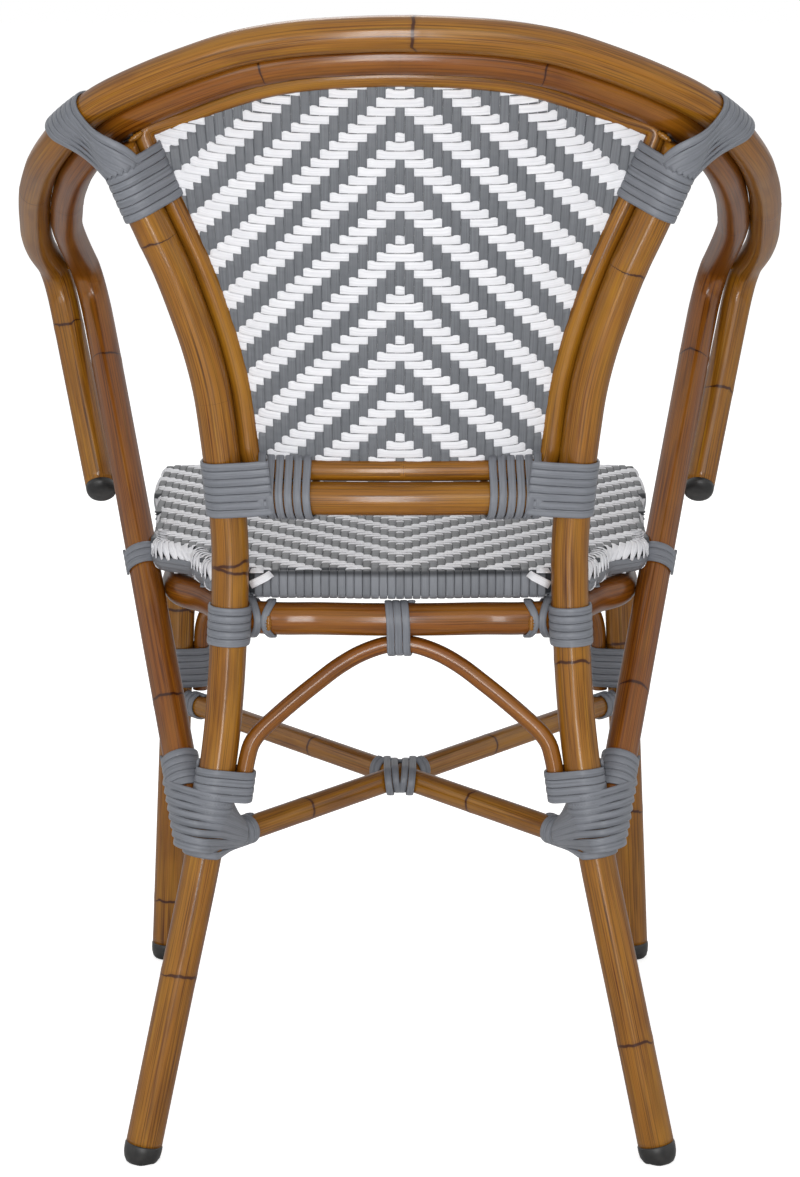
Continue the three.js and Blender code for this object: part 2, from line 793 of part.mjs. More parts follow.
const bore = (start, axis, tubeRadius) => {
  const socket = revolve([
    [0, -cutOverrun],
    [boreRadius(tubeRadius), -cutOverrun],
    [boreRadius(tubeRadius), stemLength + clearance],
    [0, stemLength + clearance],
  ]);
  return alongAxis(socket, start, axis);
};

const bevelShare = 0.3;
const armCap = (end, axis, tubeRadius) => {
  const rim = -clearance;
  const body = revolve([
    [0, rim - capHeight],
    [tubeRadius - capRound, rim - capHeight],
    [tubeRadius - capRound * bevelShare, rim - capHeight + capRound * bevelShare],
    [tubeRadius, rim - capHeight + capRound],
    [tubeRadius, rim],
    [stemRadius(tubeRadius), rim],
    [stemRadius(tubeRadius), rim + stemLength],
    [0, rim + stemLength],
  ]);
  return alongAxis(body, end, axis);
};

// Tubes

const legTool = tube(rearLeg, legRadius + clearance);
const outerTool = tube(outerBow, outerBowRadius + clearance);
const innerTool = tube(innerBow, innerBowRadius + clearance);
const ringTool = tube(ring, ringRadius + clearance, ringSides, true);
const hoopTool = tube(hoop, hoopRadius + clearance, slimTubeSides, true);
const frontLegTool = tube(frontLeg, legRadius + clearance);

const armAxis = elbowArc.at(-1).clone().sub(armEnd).normalize();
addPart('outer_bow', cut(tube(outerBow, outerBowRadius), [
  bore(armEnd, armAxis, outerBowRadius),
  mirrorSolid(bore(armEnd, armAxis, outerBowRadius)),
]), cane());
addPart('inner_bow', cut(tube(innerBow, innerBowRadius), [legTool, mirrorSolid(legTool)], crown), darkCane());
addPair('rear_leg', cut(tube(rearLeg, legRadius), [
  outerTool,
  innerTool,
  bore(rearLegStart, rearLegAxis, legRadius),
], waist), cane);
addPart('back_hoop', cut(tube(hoop, hoopRadius, slimTubeSides, true), [innerTool]), cane());
addPart('lower_rail', cut(tube(rail, railRadius), [legTool, mirrorSolid(legTool)], railMiddle), cane());
addPart('seat_ring', cut(tube(ring, ringRadius, ringSides, true), [legTool, mirrorSolid(legTool)]), cane());
addPair('front_leg', cut(tube(frontLeg, legRadius), [
  ringTool,
  bore(frontLegStart, frontLegAxis, legRadius),
], frontFoot), cane);
addPart('rear_arch', tube(rearArch, archRadius, slimTubeSides), darkCane());
addPart('front_arch', tube(frontArch, archRadius, slimTubeSides), darkCane());

const crossTools = [legTool, mirrorSolid(legTool), frontLegTool, mirrorSolid(frontLegTool)];
const meetingOfStretchers = crossing(longStretcher, new THREE.Vector3(0, 0, stretcherHeight), outward).point;
addPart('long_stretcher', cut(tube(longStretcher, stretcherRadius), crossTools, meetingOfStretchers), cane());
const longTool = tube(longStretcher, stretcherRadius + clearance);
for (const [name, end] of [['rear', mirrored(rearCross)], ['front', frontCross]]) {
  const piece = tube([meetingOfStretchers, end], stretcherRadius);
  addPart(`half_stretcher_${name}`, cut(piece, [...crossTools, longTool], end), cane());
}

addPair('rear_foot', foot(rearFoot, rearLegAxis, legRadius), blackPlastic);
addPair('front_foot', foot(frontFoot, frontLegAxis, legRadius), blackPlastic);
addPair('arm_cap', armCap(armEnd, armAxis, outerBowRadius), blackPlastic);

// Woven back: a patch between the four inner edges of the hoop

const lowCorner = hoopLow.length + 1;
const highCorner = hoopLow.length + hoopLowArc.length + hoopSide.length + 1;
const crownIndex = hoopHalf.length - 1;
const panelMiddle = hoop[0].clone().lerp(hoop[crownIndex], 0.5);
const insideHoop = (i) => {
  const direction = directionAt(hoop, i, true);
  const inward = panelMiddle.clone().sub(hoop[i]);
  inward.addScaledVector(direction, -inward.dot(direction)).normalize();
  return hoop[i].clone().addScaledVector(inward, hoopRadius + panelEdgeGap);
};
const stretchOf = (from, to) => Array.from({ length: to - from + 1 }, (_, i) => insideHoop(from + i));
const panelColumns = 10;
const panelRows = 10;
const lowEdgeHalf = new THREE.CatmullRomCurve3(stretchOf(0, lowCorner));
const sideEdge = new THREE.CatmullRomCurve3(stretchOf(lowCorner, highCorner));
const highEdgeHalf = new THREE.CatmullRomCurve3(stretchOf(highCorner, crownIndex));
const mirroredIf = (flag, point) => (flag ? mirrored(point) : point);
const lowEdge = (u) => mirroredIf(u < 0, lowEdgeHalf.getPointAt(Math.abs(u)));
const highEdge = (u) => mirroredIf(u < 0, highEdgeHalf.getPointAt(1 - Math.abs(u)));
const patchPoint = (u, v) => {
  const share = (u + 1) / 2;
  const right = sideEdge.getPointAt(v);
  const left = mirrored(right);
  const across = left.clone().lerp(right, share);
  const along = lowEdge(u).lerp(highEdge(u), v);
  const cornerLow = lowEdge(-1).lerp(lowEdge(1), share);
  const cornerHigh = highEdge(-1).lerp(highEdge(1), share);
  return across.add(along).sub(cornerLow.lerp(cornerHigh, v));
};
const panelGrid = Array.from({ length: panelRows + 1 }, (_, j) => (
  Array.from({ length: panelColumns + 1 }, (__, i) => patchPoint(2 * i / panelColumns - 1, j / panelRows))));
const panelSolid = () => {
  const columns = panelColumns + 1;
  const flat = panelGrid.flat();
  const face = (side) => flat.map((p) => p.clone().addScaledVector(ahead, side * panelThickness / 2));
  const positions = [...face(-1), ...face(1)];
  const count = flat.length;
  const index = [];
  const id = (i, j) => j * columns + i;
  for (let j = 0; j < panelRows; j += 1) {
    for (let i = 0; i < panelColumns; i += 1) {
      const quad = [id(i, j), id(i + 1, j), id(i + 1, j + 1), id(i, j + 1)];
      index.push(quad[0], quad[2], quad[1], quad[0], quad[3], quad[2]);
      index.push(...[0, 1, 2, 0, 2, 3].map((k) => quad[k] + count));
    }
  }
  const rim = [];
  for (let i = 0; i < panelColumns; i += 1) {
    rim.push(id(i, 0));
  }
  for (let j = 0; j < panelRows; j += 1) {
    rim.push(id(panelColumns, j));
  }
  for (let i = panelColumns; i > 0; i -= 1) {
    rim.push(id(i, panelRows));
  }
  for (let j = panelRows; j > 0; j -= 1) {
    rim.push(id(0, j));
  }
  rim.forEach((a, k) => {
    const b = rim[(k + 1) % rim.length];
    index.push(a, b, b + count, a, b + count, a + count);
  });
  return solidFrom(positions, index);
};

// Woven seat over the ring

const seatBottom = ringHeight + ringRadius + strandThickness + 2 * clearance;
const seatTop = seatBottom + seatThickness;
const seatMiddle = at(0, (ringRear + ringFrontForward) / 2, 0);
const bowAtSeat = crossing(innerHalf, at(waistHalf, waistForward, seatBottom + seatThickness / 2), up).point;
const seatRearShares = [0.2, 0.9];
const seatOutline = ring.map((point, i) => {
  const along = directionAt(ring, i, true);
  const out = new THREE.Vector3().crossVectors(along, up).normalize();
  if (out.dot(point.clone().sub(seatMiddle)) < 0) {
    out.negate();
  }
  const rearness = THREE.MathUtils.smoothstep(out.y, ...seatRearShares);
  const front = Math.max(0, -out.y) ** 2;
  const edge = lerp(lerp(seatEdgeSide, seatEdgeFront, front), seatEdgeRear, rearness);
  return point.clone().addScaledVector(out, edge + seatCornerOut * 4 * front * (1 - front));
}).reverse();
const seatLayer = (inset, height) => seatOutline.map((point) => {
  const fromMiddle = point.clone().sub(seatMiddle);
  fromMiddle.z = 0;
  const length = fromMiddle.length();
  return seatMiddle.clone().addScaledVector(fromMiddle, (length - inset) / length).setZ(height);
});
const seatGeometry = skinRings([
  seatLayer(seatEdgeRadius, seatBottom),
  seatLayer(seatEdgeRadius * bevelShare, seatBottom + seatEdgeRadius * bevelShare),
  seatLayer(0, seatBottom + seatEdgeRadius),
  seatLayer(0, seatTop - seatEdgeRadius),
  seatLayer(seatEdgeRadius * bevelShare, seatTop - seatEdgeRadius * bevelShare),
  seatLayer(seatEdgeRadius, seatTop),
  seatLayer(ringRear, seatTop + seatCrown),
], false);
const strandRoom = strandThickness + 4 * clearance;
const tiedBowTool = tube(innerBow, innerBowRadius + strandRoom + strandThickness / 2);
addPart('woven_seat', cut(seatGeometry, [tiedBowTool, legTool, mirrorSolid(legTool)], seatMiddle), weave());

// Lashings of the back

const strandLength = (loops) => loops * strandPitch;
const legSet = { path: rearLeg, radius: legRadius };
const outerSet = { path: outerBow, radius: outerBowRadius };
const innerSet = { path: innerHalf, radius: innerBowRadius };
const hoopSet = { path: hoopLoop, radius: hoopRadius };
const railSet = { path: rail, radius: railRadius };
const ringSet = { path: ringLoop, radius: ringRadius };
const rearArchSet = { path: rearArch, radius: archRadius };
const frontArchSet = { path: frontArch, radius: archRadius };
const frontLegSet = { path: frontLeg, radius: legRadius };
const stretcherSet = { path: longStretcher, radius: stretcherRadius };
const crossSet = { path: crossStretcher, radius: stretcherRadius };

const stileLashingDrop = 18.3;
const { point: stileSpot, tangent: stileAxis } = atHeight(
  rearLeg, hoopSide.at(-1).z - stileLashingDrop);
addPair('stile_lashing', coil('stile_lashing', {
  bundle: [legSet, hoopSet],
  origin: stileSpot,
  axis: stileAxis,
  toward: ahead,
  loops: stileLoops,
}), greyStrand);

const railLashingShare = 0.64;
const railSpot = new THREE.Vector3(railEnd.x * railLashingShare, railEnd.y, railHeight);
const railAxis = atHalf(rail, railSpot.x, railSpot).tangent;
addPair('rail_lashing', coil('rail_lashing', {
  bundle: [railSet, hoopSet],
  origin: railSpot,
  axis: railAxis,
  toward: up,
  loops: railLoops,
}), greyStrand);

const postHeight = railHeight + hoopRadius + clearance;
const postSpot = atHeight(rearLeg, postHeight);
const postReach = railEnd.x - railSpot.x - strandLength(railLoops) / 2 - strandWidth * 2;
addPair('post_lashing', strapping('post_lashing', {
  bundle: [legSet, { path: hoop.slice(lowCorner, highCorner), radius: hoopRadius }],
  along: [railSet],
  origin: postSpot.point,
  axis: postSpot.tangent,
  toward: outward.clone().negate(),
  passes: postPasses,
  reachFor: () => postReach,
}), greyStrand);

// The woven back makes room for the strands that pass between it and its hoop
const facetShare = 1 / Math.cos(Math.PI / coilSides);
const notchRadius = (hoopRadius + strandRoom) * facetShare;
const notchAlong = (from, to) => tube(hoop.slice(from, to), notchRadius);
const sideStart = hoopLow.length + hoopLowArc.length;
const notches = [
  notchAlong(0, hoopLow.length + 3),
  notchAlong(sideStart + hoopSide.length - 3, sideStart + hoopSide.length + 3),
];
addPart('woven_back', cut(panelSolid(), [hoopTool, ...notches, ...notches.map(mirrorSolid)]), weave());

const cornerShare = 0.21;
const cornerHalf = lerp(stileTopHalf, armHalf, cornerShare);
const cornerSpot = crossing(outerHalf, at(cornerHalf, hubForward, shoulderHeight), outward);
const stileLashingEnd = stileSpot.clone()
  .addScaledVector(stileAxis, strandLength(stileLoops) / 2 + strandPitch + strandWidth / 2);
const reachToPlane = (point, normal) => (share, start, toward) => Math.max(
  point.clone().sub(start).dot(normal) / toward.dot(normal),
  strandWidth,
);
addPair('corner_lashing', strapping('corner_lashing', {
  bundle: [outerSet, innerSet],
  along: [legSet],
  origin: cornerSpot.point,
  axis: cornerSpot.tangent,
  toward: stileLashingEnd.clone().sub(cornerSpot.point),
  passes: cornerPasses,
  reachFor: reachToPlane(stileLashingEnd, stileAxis),
}), greyStrand);

// Lashings where the rear legs carry the seat ring

const ringStrapReach = 7.5;
const ringSpot = atHeight(rearLeg, ringHeight);
addPair('ring_lashing', strapping('ring_lashing', {
  bundle: [legSet],
  origin: ringSpot.point,
  axis: ringSpot.tangent,
  toward: ahead,
  passes: ringPasses,
  reachFor: () => ringStrapReach,
}), greyStrand);

const ringStrapWidth = legRadius + strandRoom;
const ringCollarHalf = legAtRing.x - ringStrapWidth - strandLength(ringCollarLoops + 1) / 2 - strandThickness;
const ringCollarSpot = atHalf(ringLoop, ringCollarHalf, ringSpot.point);
addPair('ring_collar', coil('ring_collar', {
  bundle: [ringSet],
  origin: ringCollarSpot.point,
  axis: ringCollarSpot.tangent,
  toward: up,
  loops: ringCollarLoops,
}), greyStrand);

const tieSpot = crossing(innerHalf, bowAtSeat, up);
addPair('bow_tie', coil('bow_tie', {
  bundle: [innerSet],
  origin: tieSpot.point,
  axis: tieSpot.tangent,
  toward: outward,
  loops: tieLoops,
}), greyStrand);

// Lashings of the lower rear joints

const archLashingRise = 19;
const archLashingSpot = atHeight(rearLeg, archEndHeight + archLashingRise);
addPair('rear_arch_lashing', coil('rear_arch_lashing', {
  bundle: [legSet, rearArchSet],
  origin: archLashingSpot.point,
  axis: archLashingSpot.tangent,
  toward: outward,
  loops: archLoops,
}), greyStrand);

const stretcherAxis = mirrored(frontCross).sub(rearCross).normalize();
const fanRise = 12;
const fanSpot = atHeight(rearLeg, stretcherHeight + fanRise);
const collarFromRearLeg = 42;
const collarFromFrontLeg = 32;
const fanReach = collarFromRearLeg - strandLength(stretcherCollarLoops + 2) / 2;
const fanTaper = 13;
const bowEndDirection = innerBowEnd.clone().sub(innerArc.at(-1)).normalize();
const bowPastEnd = innerBowEnd.clone().addScaledVector(bowEndDirection, innerBowDiameter);
addPair('fan_lashing', strapping('fan_lashing', {
  bundle: [legSet, { path: [innerArc.at(-1), bowPastEnd], radius: innerBowRadius }],
  along: [stretcherSet],
  origin: fanSpot.point,
  axis: fanSpot.tangent,
  toward: stretcherAxis,
  passes: fanPasses,
  reachFor: (share) => fanReach - fanTaper * Math.abs(share),
}), greyStrand);

const bowCollarRise = 42;
const bowCollarSpot = crossing(innerHalf, legAtBow.clone().setZ(innerBowEndHeight + bowCollarRise), up);
addPair('bow_collar', coil('bow_collar', {
  bundle: [innerSet],
  origin: bowCollarSpot.point,
  axis: bowCollarSpot.tangent,
  toward: outward,
  loops: bowCollarLoops,
}), greyStrand);

const rearCollarSpot = rearCross.clone().addScaledVector(stretcherAxis, collarFromRearLeg);
addPair('rear_collar', coil('rear_collar', {
  bundle: [stretcherSet],
  origin: rearCollarSpot,
  axis: stretcherAxis,
  toward: up,
  loops: stretcherCollarLoops,
}), greyStrand);

const crossAxis = mirrored(rearCross).sub(frontCross).normalize();
const frontCollarSpot = frontCross.clone().addScaledVector(crossAxis, collarFromFrontLeg);
addPair('front_collar', coil('front_collar', {
  bundle: [crossSet],
  origin: frontCollarSpot,
  axis: crossAxis,
  toward: up,
  loops: stretcherCollarLoops,
}), greyStrand);

// Lashings of the front legs, of the arches' tops and of the crossing

const frontLashingRise = 24;
const frontLashingSpot = atHeight(frontLeg, frontArchEndHeight + frontLashingRise);
addPair('front_arch_lashing', coil('front_arch_lashing', {
  bundle: [frontLegSet, frontArchSet],
  origin: frontLashingSpot.point,
  axis: frontLashingSpot.tangent,
  toward: outward,
  loops: frontLoops,
}), greyStrand);

for (const [name, set, forward] of [
  ['rear_tie', rearArchSet, ringRear - ringRearBow],
  ['front_tie', frontArchSet, ringFrontForward],
]) {
  addPart(name, coil(name, {
    bundle: [ringSet, set],
    origin: at(0, forward, ringHeight),
    axis: outward,
    toward: up,
    loops: apexLoops,
  }), greyStrand());
}

const centreHalf = strandLength(centreLoops) / 2 + strandWidth;
const centreSpot = meetingOfStretchers.clone().setX(centreHalf);
addPair('centre_lashing', coil('centre_lashing', {
  bundle: [stretcherSet, crossSet],
  origin: centreSpot,
  axis: outward,
  toward: up,
  loops: centreLoops,
}), greyStrand);

group.updateMatrixWorld(true);
const box = new THREE.Box3().setFromObject(group);
const middle = box.getCenter(new THREE.Vector3());
group.position.set(-middle.x, -middle.y, -box.min.z);
group.updateMatrixWorld(true);

for (const [name, gap] of Object.entries(leastGaps)) {
  console.log(`${name}: least gap between its loops ${gap.toFixed(2)} mm`);
}

export default group;
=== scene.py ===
"""Bistro armchair with a woven back and seat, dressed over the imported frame.

Lengths are in millimetres of the part's own source unless a name says otherwise, and objects are made in
metres. The sitter looks toward -Y, the sitter's left is toward +X and +Z is up.
"""
import logging
import math
from dataclasses import dataclass, field
from enum import Enum
from typing import Any, Sequence

import bpy
import numpy as np
from mathutils import Matrix, Vector


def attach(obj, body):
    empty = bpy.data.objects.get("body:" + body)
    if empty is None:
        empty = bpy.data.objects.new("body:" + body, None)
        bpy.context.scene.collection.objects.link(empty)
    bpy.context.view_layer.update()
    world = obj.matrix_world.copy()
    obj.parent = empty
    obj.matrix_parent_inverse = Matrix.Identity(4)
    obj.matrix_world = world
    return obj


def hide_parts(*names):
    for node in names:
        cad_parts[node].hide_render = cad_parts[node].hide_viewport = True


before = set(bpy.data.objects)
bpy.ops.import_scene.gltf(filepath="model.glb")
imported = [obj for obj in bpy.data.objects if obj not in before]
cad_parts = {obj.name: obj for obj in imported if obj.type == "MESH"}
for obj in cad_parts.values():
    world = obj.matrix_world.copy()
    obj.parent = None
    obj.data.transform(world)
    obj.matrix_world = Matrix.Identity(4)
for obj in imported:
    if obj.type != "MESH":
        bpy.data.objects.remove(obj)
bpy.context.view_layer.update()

LOG = logging.getLogger("chair")
# Metres in a millimetre.
MM = 0.001
# Where the source's zero, which is at the rear feet, lies in the shared frame.
REAR_FEET_Y = 233.54
# Degrees that the end faces of the arms are turned to the rear.
ARM_MITRE = 25.0
UP = np.array([0.0, 0.0, 1.0])
OUTWARD = np.array([1.0, 0.0, 0.0])
AHEAD = np.array([0.0, -1.0, 0.0])
MIRROR = np.array([-1.0, 1.0, 1.0])
Array = np.ndarray
Number = float | Array
# A point of a line and the line's direction there.
Crossing = tuple[Array, Array]
Socket = bpy.types.NodeSocket
Material = bpy.types.Material


class Side(Enum):
    """The sitter's side that a piece of a pair is on."""

    LEFT = "left"
    RIGHT = "right"

    def of(self, left: Any) -> Any:
        """A route or mesh of the left side as it is, or mirrored for the right side."""
        return left if self is Side.LEFT else left.mirrored()


class Attribute(str, Enum):
    """Names of the values that the meshes hand to their materials."""

    GRAIN = "grain"
    APART = "joint_apart"
    NODE = "node"
    TONE = "tone"


# Vectors.


def unit(v: Array) -> Array:
    """Vectors of length one in the directions of v."""
    length = np.linalg.norm(v, axis=-1, keepdims=True)
    return v / np.maximum(length, 1e-12)


def lerp(a: Number, b: Number, share: Number) -> Number:
    """The value a share of the way from a to b."""
    return a + (b - a) * share


def smoothstep(value: Number, low: float, high: float) -> Number:
    """Zero below low, one above high and a soft step between them."""
    share = np.clip((value - low) / (high - low), 0.0, 1.0)
    return share * share * (3 - 2 * share)


def sampled(want: Number, run: Array, values: Array) -> Array:
    """Vectors at the wanted distances along a line, from those at the distances of run."""
    return np.stack([np.interp(want, run, values[:, k]) for k in range(3)], axis=-1)


@dataclass
class Route:
    """The centre line of a tube.

    Args:
        points: places along the line.
        closed: true where the last point joins the first.
    """

    points: Array
    closed: bool = False

    @classmethod
    def through(cls, controls: Sequence, step: float = 6.0, closed: bool = False) -> "Route":
        """A smooth line, by centripetal splines, which don't overshoot between uneven controls.

        Args:
            controls: places that it goes through.
            step: distance between its points.
            closed: true where the last control joins the first.

        Returns:
            The line, or a straight one where there are two controls.
        """
        c = np.array(controls, float)
        n = len(c)
        if n == 2:
            count = max(2, int(np.linalg.norm(c[1] - c[0]) / step))
            return cls(lerp(c[0], c[1], np.linspace(0, 1, count + 1)[:, None]))
        if closed:
            ext = np.vstack([c[-1], c, c[0], c[1]])
        else:
            ext = np.vstack([2 * c[0] - c[1], c, 2 * c[-1] - c[-2]])
        out = []
        for i in range(1, len(ext) - 2):
            p0, p1, p2, p3 = ext[i - 1:i + 3]
            d = [max(math.sqrt(np.linalg.norm(b - a)), 1e-6) for a, b in ((p0, p1), (p1, p2), (p2, p3))]
            m1 = (p1 - p0) / d[0] - (p2 - p0) / (d[0] + d[1]) + (p2 - p1) / d[1]
            m2 = (p2 - p1) / d[1] - (p3 - p1) / (d[1] + d[2]) + (p3 - p2) / d[2]
            m1, m2 = m1 * d[1], m2 * d[1]
            count = max(2, int(math.ceil(np.linalg.norm(p2 - p1) / 2)))
            t = (np.arange(count) / count)[:, None]
            out.append(p1 * (2 * t**3 - 3 * t**2 + 1) + m1 * (t**3 - 2 * t**2 + t)
                       + p2 * (-2 * t**3 + 3 * t**2) + m2 * (t**3 - t**2))
        if not closed:
            out.append(c[-1:])
        return cls(np.vstack(out), closed).spaced(step)

    @property
    def run(self) -> Array:
        """Distance from the start at each point."""
        return np.concatenate([[0.0], np.cumsum(np.linalg.norm(np.diff(self.points, axis=0), axis=1))])

    def spaced(self, step: float) -> "Route":
        """The same line with its points evenly spaced, about a step apart."""
        p = np.vstack([self.points, self.points[:1]]) if self.closed else self.points
        run = Route(p).run
        count = max(2, int(round(run[-1] / step)))
        want = np.linspace(0, run[-1], count + 1)
        q = sampled(want, run, p)
        return Route(q[:-1] if self.closed else q, self.closed)

    def loop(self) -> "Route":
        """A closed line as an open one that ends where it starts."""
        return Route(np.vstack([self.points, self.points[:1]])) if self.closed else self

    def tangents(self) -> Array:
        """Direction of the line at each point."""
        p = self.points
        if self.closed:
            return unit(unit(p - np.roll(p, 1, 0)) + unit(np.roll(p, -1, 0) - p))
        steps = unit(np.diff(p, axis=0))
        return unit(np.vstack([steps[:1], steps[:-1] + steps[1:], steps[-1:]]))

    def crossing(self, origin: Array, axis: Array, distance: float = 0.0) -> Crossing | None:
        """Nearest crossing of a plane.

        Args:
            origin: a point on the axis.
            axis: the plane's normal.
            distance: where the plane is along the axis, from the origin.

        Returns:
            The crossing point and the line's direction there, or None.
        """
        target = origin + axis * distance
        side = (self.points - target) @ axis
        hits = np.nonzero((side[:-1] <= 0) != (side[1:] <= 0))[0]
        if len(hits) == 0:
            return None
        share = side[hits] / (side[hits] - side[hits + 1])
        found = self.points[hits] + (self.points[hits + 1] - self.points[hits]) * share[:, None]
        best = int(np.argmin(np.linalg.norm(found - target, axis=1)))
        i = hits[best]
        return found[best], unit(self.points[i + 1] - self.points[i])

    def at_height(self, height: float) -> Crossing | None:
        """Where the line passes a height, and its direction there."""
        return self.crossing(np.array([*self.points[0][:2], height]), UP)

    def trimmed(self, start: float, end: float) -> "Route":
        """The line cut at its ends.

        Args:
            start: length that comes off at its start, or below zero where it gets longer.
            end: the same at its end.

        Returns:
            The open line.
        """
        p = self.points
        if start < 0:
            p = np.vstack([p[0] + unit(p[0] - p[1]) * -start, p])
        if end < 0:
            p = np.vstack([p, p[-1] + unit(p[-1] - p[-2]) * -end])
        run = Route(p).run
        low, high = max(start, 0.0), run[-1] - max(end, 0.0)
        inside = (run > low + 0.5) & (run < high - 0.5)
        want = np.concatenate([[low], run[inside], [high]])
        return Route(sampled(want, run, p))

    def mirrored(self) -> "Route":
        """The line on the other side of the middle plane."""
        return Route(self.points * MIRROR, self.closed)

    def distance_of(self, point: Sequence) -> float:
        """How far along the line its nearest point to a place is."""
        gaps = np.linalg.norm(self.points - np.array(point), axis=1)
        return float(self.run[int(np.argmin(gaps))])


def both_sides(half: Sequence) -> list:
    """Controls of a whole line from those of its left half, which starts on the middle plane."""
    return [(-x, y, z) for x, y, z in reversed(half[1:])] + list(half)


def at_level(z: float, places: Sequence) -> list:
    """Controls of a line at one height."""
    return [(x, y, z) for x, y in places]


def all_round(half: Sequence) -> list:
    """Controls of a closed line from those of its left half, which starts and ends on the middle plane."""
    return list(half) + [(-x, y, z) for x, y, z in reversed(half[1:-1])]


# Meshes.


def linked(name: str, data: Any) -> bpy.types.Object:
    """A new object of the data, in the scene."""
    obj = bpy.data.objects.new(name, data)
    bpy.context.scene.collection.objects.link(obj)
    return obj


@dataclass
class MeshData:
    """Vertices, faces and per-vertex values of a mesh that is being made."""

    verts: Array
    faces: list
    values: dict = field(default_factory=dict)

    @classmethod
    def of_rings(cls, rings: Array, grain: Array, values: dict, closed: bool = False) -> "MeshData":
        """A mesh between rings of equal point counts, with its grain in millimetres and other values."""
        grain = {Attribute.GRAIN: grain.reshape(-1, 3) * MM}
        return cls(rings.reshape(-1, 3), skin(rings, closed), grain | values)

    @classmethod
    def joined(cls, parts: Sequence["MeshData"]) -> "MeshData":
        """One mesh of several that carry the same values."""
        faces, shift = [], 0
        for part in parts:
            faces += [f + shift for f in part.faces]
            shift += len(part.verts)
        values = {k: np.concatenate([p.values[k] for p in parts]) for k in parts[0].values}
        return cls(np.vstack([p.verts for p in parts]), faces, values)

    def mirrored(self) -> "MeshData":
        """The mesh on the other side of the middle plane."""
        return MeshData(self.verts * MIRROR, [f[:, ::-1] for f in self.faces], dict(self.values))

    def to_object(self, name: str, material: Material) -> bpy.types.Object:
        """Makes the Blender object in the shared frame, in metres."""
        mesh = bpy.data.meshes.new(name)
        verts = (self.verts + [0.0, REAR_FEET_Y, 0.0]) * MM
        loops = np.concatenate([f.reshape(-1) for f in self.faces])
        totals = np.concatenate([np.full(len(f), f.shape[1]) for f in self.faces])
        starts = np.concatenate([[0], np.cumsum(totals)[:-1]])
        mesh.vertices.add(len(verts))
        mesh.vertices.foreach_set("co", verts.astype(np.float32).ravel())
        mesh.loops.add(len(loops))
        mesh.loops.foreach_set("vertex_index", loops.astype(np.int32))
        mesh.polygons.add(len(totals))
        mesh.polygons.foreach_set("loop_start", starts.astype(np.int32))
        mesh.polygons.foreach_set("use_smooth", np.ones(len(totals), bool))
        mesh.update(calc_edges=True)
        mesh.validate()
        for key, value in self.values.items():
            kind = "FLOAT_VECTOR" if value.ndim == 2 else "FLOAT"
            layer = mesh.attributes.new(key.value, kind, "POINT")
            layer.data.foreach_set("vector" if value.ndim == 2 else "value", value.astype(np.float32).ravel())
        mesh.materials.append(material)
        return linked(name, mesh)


def skin(rings: Array, closed: bool = False) -> list:
    """Faces between rings of equal point counts.

    Args:
        rings: array of ring, point, coordinate.
        closed: true where the last ring joins the first; otherwise both ends get a face.

    Returns:
        Face index arrays, quads first.
    """
    n, m = rings.shape[:2]
    i = np.arange(n if closed else n - 1)[:, None]
    k = np.arange(m)[None, :]
    j, l = (i + 1) % n, (k + 1) % m
    quads = np.stack([i * m + k, i * m + l, j * m + l, j * m + k], axis=-1).reshape(-1, 4)
    faces = [quads]
    if not closed:
        faces += [np.arange(m)[None, ::-1], (np.arange(m) + (n - 1) * m)[None, :]]
    return faces


def carried_frame(route: Route) -> tuple:
    """Two directions across a line at each point that turn with it and don't twist."""
    t = route.tangents()
    normals = []
    n = UP if abs(t[0] @ UP) < 0.7 else AHEAD
    for direction in t:
        n = unit(n - direction * (n @ direction))
        normals.append(n)
    normals = np.array(normals)
    if route.closed:
        back = unit(normals[-1] - t[0] * (normals[-1] @ t[0]))
        turn = math.atan2(normals[0] @ np.cross(t[0], back), normals[0] @ back)
        angle = (turn * np.arange(len(t)) / len(t))[:, None]
        normals = normals * np.cos(angle) + np.cross(t, normals) * np.sin(angle)
    return normals, np.cross(t, normals)


@dataclass(frozen=True)
class Joint:
    """A painted cane joint on a tube.

    Args:
        place: a point near it.
        aside: degrees that its middle is turned from the rear.
        arc: degrees that it reaches to each side of its middle.
        apart: half of the distance between its two lines, where it has two. They meet toward +X.
    """

    place: tuple
    aside: float = 0.0
    arc: float = 40.0
    apart: float = 0.0


@dataclass(frozen=True)
class TubeDetail:
    """Small forms that all tubes share.

    Args:
        swell: how far a tube stands out at a painted joint.
        swell_reach: how far that spreads along it.
        joint_facing: direction that the middle of a joint faces before it is turned aside.
        no_joint: distance that stands for no joint at all.
        spread: share of its width that a double joint has on its rear, and how that falls toward +X.
        mitre_reach: length over which a mitred end comes to lean.
        cope_reach: length over which a coped end is drawn back.
        cope_steps: places along that length that are tested.
        grain_shift: how far along the grain of the next tube starts.
    """

    swell: float = 0.2
    swell_reach: float = 3.0
    joint_facing: tuple = (0.0, 1.0, 0.15)
    no_joint: float = 1e3
    spread: tuple = (0.9, 1.1)
    mitre_reach: float = 24.0
    cope_reach: float = 70.0
    cope_steps: int = 400
    grain_shift: float = 431.0


TUBE = TubeDetail()


